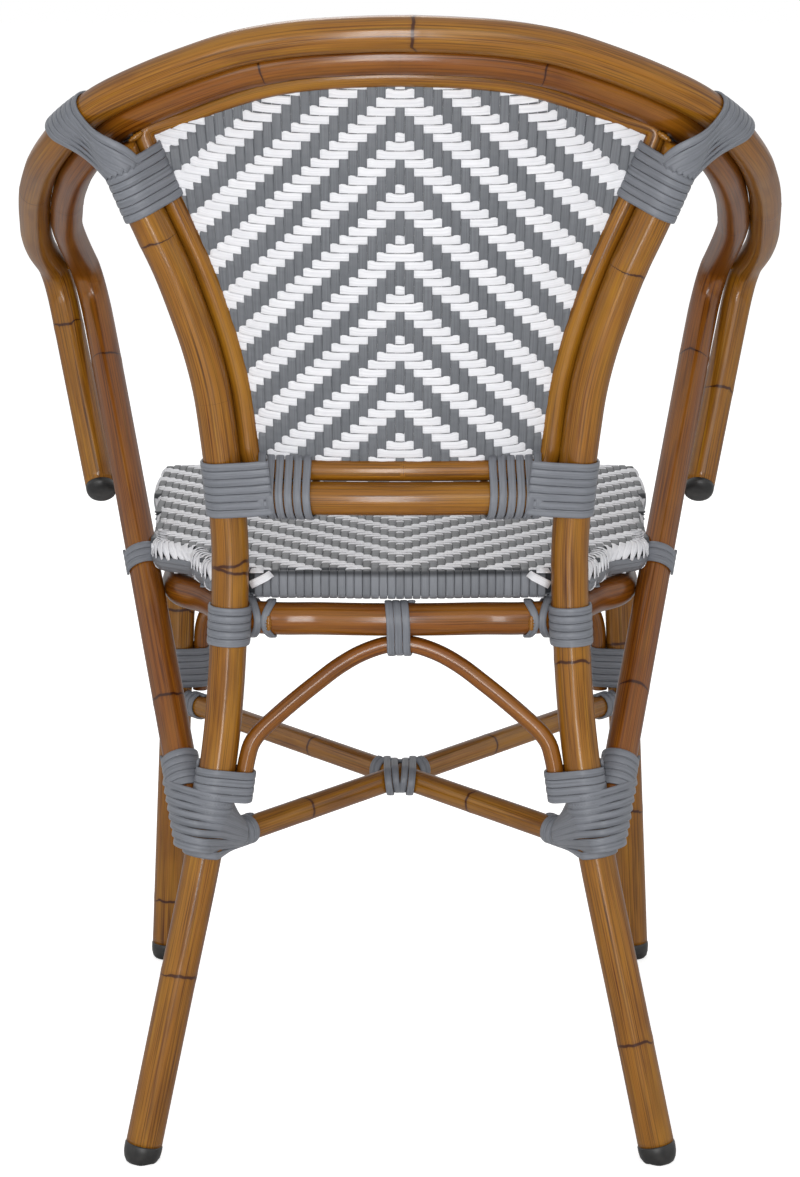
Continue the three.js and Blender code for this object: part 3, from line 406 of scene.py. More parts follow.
def round_tube(route: Route, radius: Number, *, sides: int = 36, joints: Sequence[Joint] = (), seed: int = 0,
               coped_by: Sequence["Member"] = (), mitre: float = 0.0) -> MeshData:
    """A round tube with painted cane joints.

    Args:
        route: the centre line.
        radius: the tube's outside radius, or one for each point.
        sides: facets round the tube.
        joints: the painted joints.
        seed: picks where the grain starts, so that no two tubes are alike.
        coped_by: tubes that its end is cut to fit.
        mitre: degrees that its end faces are turned to the rear.

    Returns:
        The tube's mesh with its grain and joint values.
    """
    normals, others = carried_frame(route)
    run = route.run
    angle = 2 * np.pi * np.arange(sides) / sides
    ring = (normals[:, None, :] * np.cos(angle)[None, :, None]
            + others[:, None, :] * np.sin(angle)[None, :, None])
    gap = np.full(ring.shape[:2], TUBE.no_joint)
    apart = np.zeros(ring.shape[:2])
    swell = np.zeros(len(run))
    for joint in joints:
        here = run - route.distance_of(joint.place)
        swell += TUBE.swell * np.exp(-(here / TUBE.swell_reach) ** 2)
        middle = Matrix.Rotation(math.radians(joint.aside), 3, "Z") @ Vector(TUBE.joint_facing)
        beside = np.degrees(np.arccos(np.clip(ring @ unit(np.array(middle)), -1, 1))) - joint.arc
        outside = np.radians(np.clip(beside, 0, None)) * np.mean(radius)
        side = np.where(here < 0, -1.0, 1.0)[:, None]
        found = side * np.hypot(here[:, None], outside)
        nearer = np.abs(found) < np.abs(gap)
        spread = joint.apart * np.clip(TUBE.spread[0] - TUBE.spread[1] * ring[..., 0], 0, 2)
        gap, apart = np.where(nearer, found, gap), np.where(nearer, spread, apart)
    rings = route.points[:, None, :] + ring * (radius + swell)[:, None, None]
    along = np.repeat(run[:, None], sides, 1)
    if mitre:
        slope = math.tan(math.radians(mitre)) * np.mean(radius)
        last, first = (np.clip(1 - away / TUBE.mitre_reach, 0, 1) for away in (run[-1] - run, run))
        shift = -slope * (ring @ -AHEAD) * (last - first)[:, None]
        rings = rings + route.tangents()[:, None, :] * shift[..., None]
    if coped_by:
        rings, along = coped(rings, along, coped_by)
    grain = np.empty(rings.shape)
    grain[..., 0] = np.mean(radius) * np.cos(angle)
    grain[..., 1] = np.mean(radius) * np.sin(angle)
    grain[..., 2] = along + seed * TUBE.grain_shift
    values = {Attribute.NODE: gap.ravel() * MM, Attribute.APART: apart.ravel() * MM}
    return MeshData.of_rings(rings, grain, values, route.closed)


def coped(rings: Array, along: Array, members: Sequence["Member"], depth: float = 1.5) -> tuple:
    """Cuts a tube's end to the tubes that it meets.

    Args:
        rings: the tube's points, ring by ring.
        along: how far along the tube each is.
        members: the tubes that it is cut to.
        depth: how far its edge goes into them.

    Returns:
        The rings and distances, with the last rings drawn back along their own lines.
    """
    rings, along = rings.copy(), along.copy()
    base = int(np.searchsorted(along[:, 0], along[-1, 0] - TUBE.cope_reach))
    for k in range(rings.shape[1]):
        line, run = rings[base:, k], along[base:, k]
        fine = np.linspace(run[0], run[-1], TUBE.cope_steps)
        dense = sampled(fine, run, line)
        inside = np.zeros(len(fine), bool)
        for member in members:
            gaps = np.linalg.norm(dense[:, None, :] - member.route.points[None, :, :], axis=2).min(1)
            inside |= gaps < member.radius - depth
        end = fine[int(np.argmax(inside))] if inside.any() else fine[-1]
        want = run[0] + (run - run[0]) * (end - run[0]) / (run[-1] - run[0])
        rings[base:, k] = sampled(want, fine, dense)
        along[base:, k] = want
    return rings, along


# How far along the grain starts for a strand of tone 1, so that neighbours differ.
STRAND_GRAIN_SHIFT = 977.0


@dataclass(frozen=True)
class StrandSection:
    """Section of a flat extruded strand.

    Args:
        width: across the strand.
        thickness: from its inner to its outer face.
        squareness: 2 for an ellipse, more for flatter faces.
        points: how many points the section has.
    """

    width: float
    thickness: float
    squareness: float = 3.2
    points: int = 12

    def outline(self) -> Array:
        """Points of the section as across and outward offsets, from its middle."""
        angle = 2 * np.pi * (np.arange(self.points) + 0.5) / self.points
        c, s = np.cos(angle), np.sin(angle)
        power = 2 / self.squareness
        return np.stack([np.sign(c) * np.abs(c) ** power * self.width / 2,
                         np.sign(s) * np.abs(s) ** power * self.thickness / 2], axis=1)


def ribbon(points: Array, outward: Array, section: StrandSection, tone: Number,
           widths: Array | None = None) -> MeshData:
    """A flat strand along a line.

    Args:
        points: the strand's middle line.
        outward: direction of its outer face at each point.
        section: its section.
        tone: value from 0 to 1 that sets it apart from its neighbours, or one for each point; on the seat's
            top a raised tone is painted shade.
        widths: share of the full width at each point, or None for the full width.

    Returns:
        The strand's mesh.
    """
    route = Route(points)
    t = route.tangents()
    out = unit(outward - t * np.sum(outward * t, axis=1, keepdims=True))
    across = np.cross(out, t)
    shape = section.outline()
    scale = np.ones(len(points)) if widths is None else widths
    rings = (points[:, None, :] + across[:, None, :] * (shape[None, :, :1] * scale[:, None, None])
             + out[:, None, :] * shape[None, :, 1:])
    grain = np.empty(rings.shape)
    grain[..., :2] = shape
    grain[..., 2] = route.run[:, None] + np.mean(tone) * STRAND_GRAIN_SHIFT
    tones = np.repeat(np.broadcast_to(tone, len(points)), len(shape))
    return MeshData.of_rings(rings, grain, {Attribute.TONE: tones})


def lathe(outline: Sequence, base: Array, axis: Array, sides: int = 40) -> MeshData:
    """A turned solid.

    Args:
        outline: pairs of radius and height along the axis.
        base: where its height is zero.
        axis: its axis.
        sides: facets round it.

    Returns:
        The solid's mesh.
    """
    first = unit(np.cross(axis, AHEAD if abs(axis @ AHEAD) < 0.9 else OUTWARD))
    second = np.cross(axis, first)
    angle = 2 * np.pi * np.arange(sides) / sides
    ring = first[None, :] * np.cos(angle)[:, None] + second[None, :] * np.sin(angle)[:, None]
    rings = np.array([base + axis * h + ring * r for r, h in outline])
    return MeshData.of_rings(rings, rings - base, {Attribute.TONE: np.zeros(len(rings) * sides)})


# Materials.


def linear(code: str) -> tuple:
    """Linear colour of an sRGB hex code."""
    parts = [int(code[i:i + 2], 16) / 255 for i in (1, 3, 5)]
    return tuple(v / 12.92 if v <= 0.04045 else ((v + 0.055) / 1.055) ** 2.4 for v in parts) + (1.0,)


class Nodes:
    """An empty node tree that is being filled.

    Args:
        tree: the tree.
    """

    def __init__(self, tree: bpy.types.NodeTree) -> None:
        """Empties the tree."""
        self.tree = tree
        tree.nodes.clear()

    def feed(self, socket: Socket, value: Any) -> None:
        """Gives an input socket a constant value, or joins it to the output socket that is handed in."""
        if isinstance(value, Socket):
            self.tree.links.new(value, socket)
        else:
            socket.default_value = value

    def add(self, kind: str, settings: dict | None = None, **inputs: Any) -> bpy.types.Node:
        """Adds one node.

        Args:
            kind: the node's type without its ShaderNode prefix.
            settings: the node's own properties.
            inputs: values of its sockets, or the output socket that feeds them; _ stands for a space.

        Returns:
            The node.
        """
        node = self.tree.nodes.new("ShaderNode" + kind)
        for key, value in (settings or {}).items():
            setattr(node, key, value)
        for key, value in inputs.items():
            self.feed(node.inputs[key.replace("_", " ")], value)
        return node

    def math(self, operation: str, a: Any, b: Any = 0.0) -> Socket:
        """One sum of two values, each a socket or a number."""
        node = self.add("Math", {"operation": operation})
        for place, value in ((0, a), (1, b)):
            self.feed(node.inputs[place], value)
        return node.outputs[0]


class Shader(Nodes):
    """A material's nodes.

    Args:
        name: the material's name.
    """

    def __init__(self, name: str) -> None:
        """Makes the material with its shader and output."""
        self.material = bpy.data.materials.new(name)
        self.material.use_nodes = True
        super().__init__(self.material.node_tree)
        self.base = self.add("BsdfPrincipled")
        self.output = self.add("OutputMaterial", Surface=self.base.outputs["BSDF"])

    def surface(self, **values: Any) -> None:
        """Sets sockets of the shader itself."""
        for key, value in values.items():
            self.feed(self.base.inputs[key.replace("_", " ")], value)

    def value(self, name: Attribute, output: str = "Fac") -> Socket:
        """A value that the mesh carries."""
        return self.add("Attribute", {"attribute_name": name.value}).outputs[output]

    def stretched(self, across: float, along: float) -> Socket:
        """Grain coordinates, with one unit for so many millimetres across and along."""
        scale = (1 / (across * MM), 1 / (across * MM), 1 / (along * MM))
        node = self.add("Mapping", Vector=self.value(Attribute.GRAIN, "Vector"), Scale=scale)
        return node.outputs["Vector"]

    def noise(self, vector: Socket, detail: float = 2.0, roughness: float = 0.5) -> Socket:
        """Noise of one unit per blotch."""
        node = self.add("TexNoise", Vector=vector, Scale=1.0, Detail=detail, Roughness=roughness)
        return node.outputs["Fac"]

    def ramp(self, fac: Socket, stops: Sequence) -> Socket:
        """Colours along a value, as pairs of place and hex code or grey level."""
        node = self.add("ValToRGB", Fac=fac)
        ramp = node.color_ramp
        while len(ramp.elements) < len(stops):
            ramp.elements.new(0.5)
        for element, (place, colour) in zip(ramp.elements, stops):
            element.position = place
            element.color = linear(colour) if isinstance(colour, str) else (colour, colour, colour, 1.0)
        return node.outputs["Color"]

    def mix(self, fac: Any, a: Any, b: Any, blend: str = "MIX") -> Socket:
        """Two colours mixed by a share, each a socket, a constant or a hex code."""
        node = self.add("Mix", {"data_type": "RGBA", "blend_type": blend})
        for place, value in ((0, fac), (6, a), (7, b)):
            self.feed(node.inputs[place], linear(value) if isinstance(value, str) else value)
        return node.outputs[2]

    def bump(self, height: Socket, distance: float, strength: float) -> None:
        """Relief of so many millimetres for a height from 0 to 1."""
        node = self.add("Bump", Strength=strength, Distance=distance * MM, Height=height)
        self.surface(Normal=node.outputs["Normal"])


@dataclass(frozen=True)
class CaneFinish:
    """Glossy paint on metal tube that imitates cane.

    It gives the eye long warm streaks with fine dark fibres, golden and murky patches, dark rings with a soft
    halo, painted shade toward each tube's edges as the camera sees them, and the clear highlight of a lacquer
    along the middle of each tube.

    Args:
        name: the material's name.
        dark: its darkest streaks.
        body: its main colour.
        light: its golden patches.
        joint: colour of the painted joint rings.
        streak, fibre, patch, murk, wave: millimetres across and along one of them.
        wander: millimetres that a joint ring wanders with its waves.
        line: millimetres from a joint ring's middle to its edge.
        halo: millimetres from there to the edge of its halo.
        fibre_share, golden_share, murky_share: how far fibres and patches change the colour.
        painted_edge_shade: how far painted shade darkens a tube toward its edges as the camera sees them.
        lacquer: weight of the clear coat at a tube's middle.
    """

    name: str
    dark: str
    body: str
    light: str
    joint: str
    streak: tuple = (2.0, 130.0)
    fibre: tuple = (0.75, 110.0)
    patch: tuple = (16.0, 110.0)
    murk: tuple = (11.0, 60.0)
    wave: tuple = (9.0, 40.0)
    wander: float = 5.0
    line: float = 1.7
    halo: float = 4.0
    fibre_share: float = 0.82
    golden_share: float = 0.40
    murky_share: float = 0.38
    painted_edge_shade: float = 0.5
    lacquer: float = 0.7

    def build(self) -> Material:
        """Makes the material."""
        s = Shader(self.name)
        streaks = s.noise(s.stretched(*self.streak), 3.0, 0.65)
        fibres = s.noise(s.stretched(*self.fibre))
        patches = s.noise(s.stretched(*self.patch))
        body = s.ramp(streaks, [(0.30, self.dark), (0.46, self.body), (0.58, self.body), (0.72, self.light)])
        fine = s.ramp(fibres, [(0.36, 0.36), (0.46, 0.82), (0.58, 1.0)])
        body = s.mix(self.fibre_share, body, fine, "MULTIPLY")
        golden = s.ramp(patches, [(0.47, 0.0), (0.66, 1.0)])
        body = s.mix(s.math("MULTIPLY", golden, self.golden_share), body, self.light)
        murky = s.ramp(s.noise(s.stretched(*self.murk)), [(0.30, 1.0), (0.46, 0.0)])
        body = s.mix(s.math("MULTIPLY", murky, self.murky_share), body, self.dark)
        wave = s.math("SUBTRACT", s.noise(s.stretched(*self.wave), 1.0), 0.5)
        wave = s.math("MULTIPLY", wave, self.wander * MM)
        near = s.math("ABSOLUTE", s.math("ADD", s.value(Attribute.NODE), wave))
        near = s.math("ABSOLUTE", s.math("SUBTRACT", near, s.value(Attribute.APART)))
        line = s.ramp(s.math("DIVIDE", near, self.line * MM), [(0.45, 1.0), (0.95, 0.0)])
        halo = s.ramp(s.math("DIVIDE", near, self.halo * MM), [(0.2, 1.0), (1.0, 0.0)])
        body = s.mix(s.math("MULTIPLY", halo, 0.25), body, self.dark)
        body = s.mix(s.math("MULTIPLY", line, 0.9), body, self.joint)
        # Painted shade: the colour darkens toward each tube's edges as seen from the camera.
        facing = s.add("LayerWeight").outputs["Facing"]
        edge = s.math("MULTIPLY", s.ramp(facing, [(0.22, 0.0), (0.85, 1.0)]), self.painted_edge_shade)
        body = s.mix(edge, body, self.dark)
        gloss = s.math("MULTIPLY", s.ramp(facing, [(0.30, 1.0), (0.75, 0.12)]), self.lacquer)
        s.surface(Base_Color=body, Roughness=0.34, Specular_IOR_Level=0.12,
                  Coat_Weight=gloss, Coat_Roughness=0.16, Coat_IOR=1.45)
        s.bump(s.math("SUBTRACT", fibres, s.math("MULTIPLY", line, 0.8)), 0.07, 0.6)
        return s.material


@dataclass(frozen=True)
class StrandFinish:
    """Extruded plastic strand.

    It gives the eye an even, half matt colour with the fine lines that the die draws along the strand, and a
    little difference between neighbours. Where a mesh raises its tone for it, it also gives painted shade.

    Args:
        name: the material's name.
        body: its colour.
        shade: colour of its darker strands and drawn lines.
        roughness: of its surface.
        depth: how far the tone value takes it to the shade colour, which is painted shade where a mesh raises
            the tone for it.
        gloss: its specular level.
        drawn: how far its drawn lines take it to the shade.
        line: millimetres across and along one drawn line.
        cloud: the same of a soft cloud in the colour.
        cloud_share: how far a cloud takes it to the shade.
    """

    name: str
    body: str
    shade: str
    roughness: float
    depth: float = 0.32
    gloss: float = 0.28
    drawn: float = 0.8
    line: tuple = (0.7, 45.0)
    cloud: tuple = (8.0, 30.0)
    cloud_share: float = 0.16

    def build(self) -> Material:
        """Makes the material."""
        s = Shader(self.name)
        lines = s.noise(s.stretched(*self.line))
        cloud = s.noise(s.stretched(*self.cloud), 1.0)
        groove = s.ramp(lines, [(0.30, 1.0), (0.62, 0.0)])
        colour = s.mix(s.math("MULTIPLY", groove, self.drawn), self.body, self.shade)
        colour = s.mix(s.math("MULTIPLY", s.value(Attribute.TONE), self.depth), colour, self.shade)
        colour = s.mix(s.math("MULTIPLY", cloud, self.cloud_share), colour, self.shade)
        s.surface(Base_Color=colour, Roughness=self.roughness, Specular_IOR_Level=self.gloss)
        s.bump(lines, 0.05, 0.5)
        return s.material


@dataclass(frozen=True)
class MouldedFinish:
    """Moulded plastic with a fine spark-eroded texture.

    It gives the eye a nearly black, half matt surface with paler scuffs.

    Args:
        name: the material's name.
        body: its colour.
        scuffed: its colour where it is scuffed.
        roughness: of its surface.
        texture: millimetres of one grain of the texture, drawn coarser than the real one of about 0.2.
        scuff: millimetres of one scuff.
    """

    name: str
    body: str
    scuffed: str
    roughness: float
    texture: float = 0.6
    scuff: float = 9.0

    def build(self) -> Material:
        """Makes the material."""
        s = Shader(self.name)
        texture = s.noise(s.stretched(self.texture, self.texture))
        scuffs = s.noise(s.stretched(self.scuff, self.scuff), 3.0)
        colour = s.ramp(scuffs, [(0.45, self.body), (0.75, self.scuffed)])
        s.surface(Base_Color=colour, Roughness=self.roughness)
        s.bump(texture, 0.06, 0.6)
        return s.material


class Finishes:
    """Every material of the chair, made once."""

    def __init__(self) -> None:
        """Makes each material."""
        # Painted metal: the golden tubes, and the browner ones behind and under them.
        self.cane = CaneFinish("painted_cane_look_tube", "#603409", "#966119", "#ad7a1d", "#351304").build()
        self.inner_cane = CaneFinish("painted_cane_look_tube_brown", "#522706", "#854c12", "#986215",
                                     "#2e1004").build()
        # Extruded plastic: bright grey lashings, the back's darker uprights, and the seat's strands, which
        # painted shade makes dark between the white ones on top; they are mid grey where they go down round
        # the edge.
        self.grey = StrandFinish("grey_extruded_strand", "#80838a", "#676a70", 0.4).build()
        self.weave_grey = StrandFinish("grey_extruded_weave_strand", "#74777c", "#5b5e63", 0.42).build()
        self.seat_grey = StrandFinish("grey_extruded_seat_strand", "#85888e", "#37393c", 0.42, depth=0.95,
                                      gloss=0.2, drawn=0.14).build()
        # Painted shade: a dark body that shows between the strands in place of the shade inside the weave;
        # and the clean white of the crossing ones.
        self.shade = StrandFinish("painted_shade_between_strands", "#47494d", "#393b3e", 0.6).build()
        self.white = StrandFinish("white_extruded_strand", "#f0f0f3", "#d6d7dc", 0.42).build()
        # Moulded feet and caps.
        self.black = MouldedFinish("black_moulded_plastic", "#151515", "#2c2b2a", 0.42).build()


# The chair's lines.


@dataclass(frozen=True)
class TubeSizes:
    """Outside radii of the tubes."""

    leg: float = 14.0
    outer: float = 12.5
    inner: float = 12.5
    hoop: float = 8.0
    rail: float = 12.5
    ring: float = 12.5
    arch: float = 6.5
    stretcher: float = 9.5


SIZES = TubeSizes()


class Lines:
    """Centre lines of every tube, with the left one where there are two."""

    outer_half = [
        (0, 30, 851.5), (37.4, 29.5, 850.5), (74.7, 27.3, 847.7), (111.3, 22.2, 841.5), (146.1, 13.7, 830.6),
        (179.7, 3.3, 817.6), (211, -10.5, 802.7), (234.3, -34.3, 785.9), (250.9, -63.3, 769.1),
        (263.6, -95.3, 754.2), (272.4, -129.1, 740.7), (279.8, -163.1, 726.8), (285.2, -197.2, 712.4),
        (289.5, -231.4, 697.7), (293.1, -265.5, 682.6), (293.5, -299.7, 667.3), (290, -333.7, 652),
        (289.3, -339.9, 648.2), (288.3, -345, 643.1), (287, -348.7, 637), (285.6, -350.8, 630.2),
        (284.1, -351.1, 623.1), (282.5, -349.7, 616.2), (250.4, -301, 470)]
    inner_half = [
        (0, 11.5, 834.9), (35.9, 11, 834), (70.9, 9, 831.4), (104.1, 4.5, 825.6), (136.1, -3.3, 815.5),
        (167.5, -13, 803.5), (194.4, -24.8, 791.1), (213.3, -44.7, 777.3), (227.9, -70.8, 762.1),
        (239.8, -100.5, 748.2), (248.2, -132.8, 735.3), (255.3, -165.7, 721.8), (260.4, -198.9, 707.8),
        (264.5, -232.5, 693.2), (264.0, -326, 655), (263.1, -333.5, 650.6), (261.8, -339.4, 644.2),
        (260, -342.8, 636.3), (258, -343.7, 627.8), (255.9, -341.7, 619.5), (253.8, -337.3, 612.2),
        (159.1, -36.2, 262)]
    leg = [
        (199.5, 0, 0), (173.6, -17, 123.3), (153.8, -29.7, 215.7), (147.7, -34, 246.8), (142.3, -38.5, 277.6),
        (137.6, -43, 308.6), (133.9, -46.5, 340), (131.2, -48.7, 371.6), (129.3, -50.4, 403.3),
        (127.9, -51.4, 435), (127.3, -51.4, 466.8), (128.6, -49.9, 498.5), (131.4, -47.4, 530),
        (134.7, -43.9, 561.5), (138.7, -39.7, 592.7), (145.5, -35.1, 623.4), (154.7, -30.3, 653.4),
        (165.2, -26, 683.1), (177.9, -22.3, 712), (190.3, -18.6, 741), (202, -15, 770.3), (213, -12, 800)]
    rail_half = at_level(510.5, [
        (0, -39), (32.4, -39.6), (64.8, -41.5), (97.3, -44.6), (129.7, -49)])
    hoop_half = [
        (0, -46.6, 530.3), (45.4, -47.9, 530.3), (90.8, -51.5, 530.3), (100.8, -53.6, 530.5),
        (105.8, -54.5, 531.8), (109.6, -55, 535.4), (111.5, -54.9, 540.3), (114.4, -53.4, 564.9),
        (117.9, -49.7, 592.2), (124.1, -45.4, 621.3), (132.2, -40.8, 650), (141.7, -36.6, 678.2),
        (153.2, -32.9, 706.8), (165, -29.5, 733.9), (176.5, -26.2, 760.7), (182, -27.6, 773.6),
        (183.4, -28.1, 779), (181.8, -28.2, 783), (177, -27.9, 785.6), (157.6, -26.4, 791.8),
        (128, -17.2, 803.2), (98.2, -10, 812.6), (67.8, -5.9, 818), (34.7, -4.1, 820.5), (0, -3.6, 821.4)]
    ring_half = at_level(412, [
        (0, -64.9), (31.8, -66), (63.5, -68.5), (95.3, -69.2), (123.5, -81.4), (137.3, -110),
        (152.2, -138), (172.1, -162.6), (178.3, -193.6), (179, -225.5), (180, -257.3), (182.2, -289),
        (184.5, -320.7), (187.7, -352.4), (191.8, -384), (194.8, -415.7), (194.7, -447.5), (187.1, -477.9),
        (159, -491.5), (127.3, -493.9), (95.5, -494), (63.7, -494.3), (31.8, -494.2), (0, -494)])
    front_leg_line = [(215, -445, 0), (195, -462, 412)]
    stretcher_line = [(148.3, -33.6, 244), (-203.2, -455.1, 244)]
    rear_arch_half = [
        (0, -64.9, 392.7), (9.9, -64.9, 392.4), (28.8, -63.1, 386.4), (46.2, -60.4, 376.9),
        (62.1, -57, 365.4), (77.7, -53.6, 353.4), (92.9, -50, 340.9), (107.3, -45.9, 327.8),
        (112.9, -44.1, 319.7), (115.7, -43, 310.3), (117.7, -41.9, 300.6), (120.5, -39, 281)]
    front_arch_half = [
        (0, -494, 392.7), (14.8, -493.9, 392.5), (43.6, -491.1, 386.9), (71.2, -486.3, 377.4),
        (97.5, -480.1, 365.3), (123.5, -473.7, 352.6), (148.9, -466.9, 339.1), (173.2, -458.9, 324.5),
        (178.6, -457.3, 311.1), (180.3, -456.6, 281.5), (181.5, -455.4, 252)]

    def __init__(self) -> None:
        """Draws each line through its controls."""
        self.outer = Route.through(both_sides(self.outer_half))
        self.inner = Route.through(both_sides(self.inner_half))
        self.inner_left = Route.through(self.inner_half)
        self.outer_left = Route.through(self.outer_half)
        self.rear_leg = Route.through(self.leg)
        self.rail = Route.through(both_sides(self.rail_half))
        self.hoop = Route.through(all_round(self.hoop_half), 4.0, closed=True)
        self.ring = Route.through(all_round(self.ring_half), closed=True)
        self.front_leg = Route.through(self.front_leg_line)
        self.stretcher = Route.through(self.stretcher_line)
        self.cross_stretcher = self.stretcher.mirrored()
        self.rear_arch = Route.through(both_sides(self.rear_arch_half), 4.0)
        self.front_arch = Route.through(both_sides(self.front_arch_half), 4.0)


# The tubes.


@dataclass
class Part:
    """A sub-assembly of the chair, which makes its own pieces and hangs them on the chair's root.

    Args:
        lines: the centre lines.
        finishes: the materials.
    """

    lines: Lines
    finishes: Finishes

    @staticmethod
    def place(data: MeshData, name: str, material: Material, slot: str, *nodes: str) -> None:
        """Turns a mesh into a piece that rides on the chair.

        Args:
            data: the mesh.
            name: the piece's name.
            material: its material.
            slot: the record's material slot. It is not used.
            nodes: the CAD nodes that it stands for.
        """
        obj = data.to_object(name, material)
        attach(obj, "root")
        if nodes:
            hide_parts(*nodes)
        LOG.info("%s: %d faces, %s", name, len(obj.data.polygons), ", ".join(nodes) or "no node of its own")

    def place_pair(self, left: MeshData, name: str, material: Material, slot: str, node: str = "") -> None:
        """Adds a piece and its mirror image, in place of their nodes where they have any."""
        for side in Side:
            nodes = [f"{node}_{side.value}"] if node else []
            self.place(side.of(left), f"{name}_{side.value}", material, slot, *nodes)


@dataclass(frozen=True)
class Weld:
    """A short rippled bead of weld metal.

    Args:
        place: its middle.
        along: its direction.
        reach: half of its length.
        radius: its radius at the middle.
        ripple: how high its ripples are.
    """

    place: tuple
    along: tuple
    reach: float
    radius: float = 2.4
    ripple: float = 0.5

    def build(self) -> MeshData:
        """The bead's mesh, thinner toward its ends."""
        places = np.linspace(-self.reach, self.reach, 13)
        route = Route(np.array(self.place) + unit(np.array(self.along)) * places[:, None])
        bulge = np.sqrt(np.clip(1 - (places / (self.reach * 1.04)) ** 2, 0, 1))
        radius = self.radius * bulge + self.ripple * np.cos(places * 2.6)
        return round_tube(route, np.maximum(radius, 0.4), sides=12)


@dataclass
class TubeFrame(Part):
    """The welded frame of bent tubes.

    Args:
        foot_height: where the legs' tubes end above the floor.
        leg_end: how much shorter than its line a rear leg is, under the band over the bows.
        bow_end: how much shorter than its line the inner bow is at each end.
        stretcher_gap: from the crossing to the end of each half stretcher.
    """

    foot_height: float = 14.0
    leg_end: float = 32.0
    bow_end: float = 4.0
    stretcher_gap: float = 11.6

    outer_joints = (
        Joint((-9, 30, 851), -20, 60), Joint((279.8, -161, 727), -15, 35), Joint((-285, -196, 712), 15, 35),
        Joint((279, -344, 598), -8, 26), Joint((-277, -337, 545), 10, 30))
    inner_joints = (
        Joint((256, -175, 718), 20, 30), Joint((-261, -215, 700), -20, 30), Joint((242, -301, 576), 25, 28),
        Joint((-245, -306, 578), -25, 28), Joint((178, -98, 337), 0, 50), Joint((-181, -108, 346), 0),
        Joint((100, 5, 826), 30, 25), Joint((-100, 5, 826), -30, 25))
    leg_joints = {
        Side.LEFT: (Joint((190, 0, 152), 25, 50), Joint((130, 0, 459), 0, 80, 2.6),
                    Joint((180, -20, 701), -32, 20)),
        Side.RIGHT: (Joint((-190, 0, 95), -10, 50), Joint((-130, 0, 390), 0, 45),
                     Joint((-180, -20, 680), 32, 20))}
    front_leg_joints = {Side.LEFT: (Joint((212, -446, 54)), Joint((205, -458, 330))),
                        Side.RIGHT: (Joint((-211, -448, 138)), Joint((-205, -458, 300)))}
    stretcher_joints = (Joint((77, -126, 244), 0, 60), Joint((-72, -302, 244), 0, 60))
    welds = (
        Weld((273.0, -203.5, 708.8), (0.3, -0.85, -0.4), 4.5),
        Weld((275.2, -336.0, 650.0), (0.2, -0.7, -0.6), 4.5),
        Weld((99.4, -57.6, 411.0), (0.0, 0.0, 1.0), 6.0), Weld((121.3, 12.0, 827.6), (1.0, -0.2, -0.35), 7.0),
        Weld((188.5, -18.0, 777.5), (0.8, 0.1, -0.6), 6.0))

    def tube(self, base: str, route: Route, radius: float, part: str = "", *, brown: bool = False,
             slot: str = "cane", **form: Any) -> None:
        """Adds one tube in the place of its node, whose name is base and part; form goes to round_tube."""
        finish = self.finishes.inner_cane if brown else self.finishes.cane
        self.place(round_tube(route, radius, **form), f"{base}_tube{part}", finish, slot, f"{base}{part}")

    def build(self) -> None:
        """Makes every tube and weld."""
        ln = self.lines
        ring = Member(ln.ring.loop(), SIZES.ring)
        self.tube("outer_bow", ln.outer, SIZES.outer, seed=1, joints=self.outer_joints, mitre=ARM_MITRE)
        self.tube("inner_bow", ln.inner.trimmed(self.bow_end, self.bow_end), SIZES.inner, brown=True,
                  slot="dark_cane", seed=2, joints=self.inner_joints)
        for i, side in enumerate(Side):
            leg = side.of(ln.rear_leg).trimmed(self.foot_height, self.leg_end)
            self.tube("rear_leg", leg, SIZES.leg, f"_{side.value}", joints=self.leg_joints[side], seed=3 + i)
            front = side.of(ln.front_leg).trimmed(self.foot_height, 0.0).spaced(6.0)
            self.tube("front_leg", front, SIZES.leg, f"_{side.value}", joints=self.front_leg_joints[side],
                      seed=5 + i, coped_by=[ring])
        beads = MeshData.joined([weld.build() for weld in self.welds])
        self.place_pair(beads, "weld_beads", self.finishes.cane, "cane")
        self.tube("back_hoop", ln.hoop, SIZES.hoop, sides=28, seed=7)
        self.tube("lower_rail", ln.rail, SIZES.rail, seed=8)
        self.tube("seat_ring", ln.ring, SIZES.ring, brown=True, seed=9)
        for seed, name, line in ((10, "rear_arch", ln.rear_arch), (11, "front_arch", ln.front_arch)):
            self.tube(name, line, SIZES.arch, brown=True, slot="dark_cane", sides=24, seed=seed)
        self.tube("long_stretcher", ln.stretcher, SIZES.stretcher, joints=self.stretcher_joints, sides=28,
                  seed=12)
        whole = ln.cross_stretcher
        middle = whole.distance_of((0, -211.4, 244))
        rear = whole.trimmed(0, whole.run[-1] - middle + self.stretcher_gap)
        front = whole.trimmed(middle + self.stretcher_gap, 0)
        for seed, part, line, spot in ((13, "_rear", rear, (-62, -140, 244)),
                                       (14, "_front", front, (69, -298, 244))):
            self.tube("half_stretcher", line, SIZES.stretcher, part, joints=(Joint(spot, 0, 60),), sides=28,
                      seed=seed)


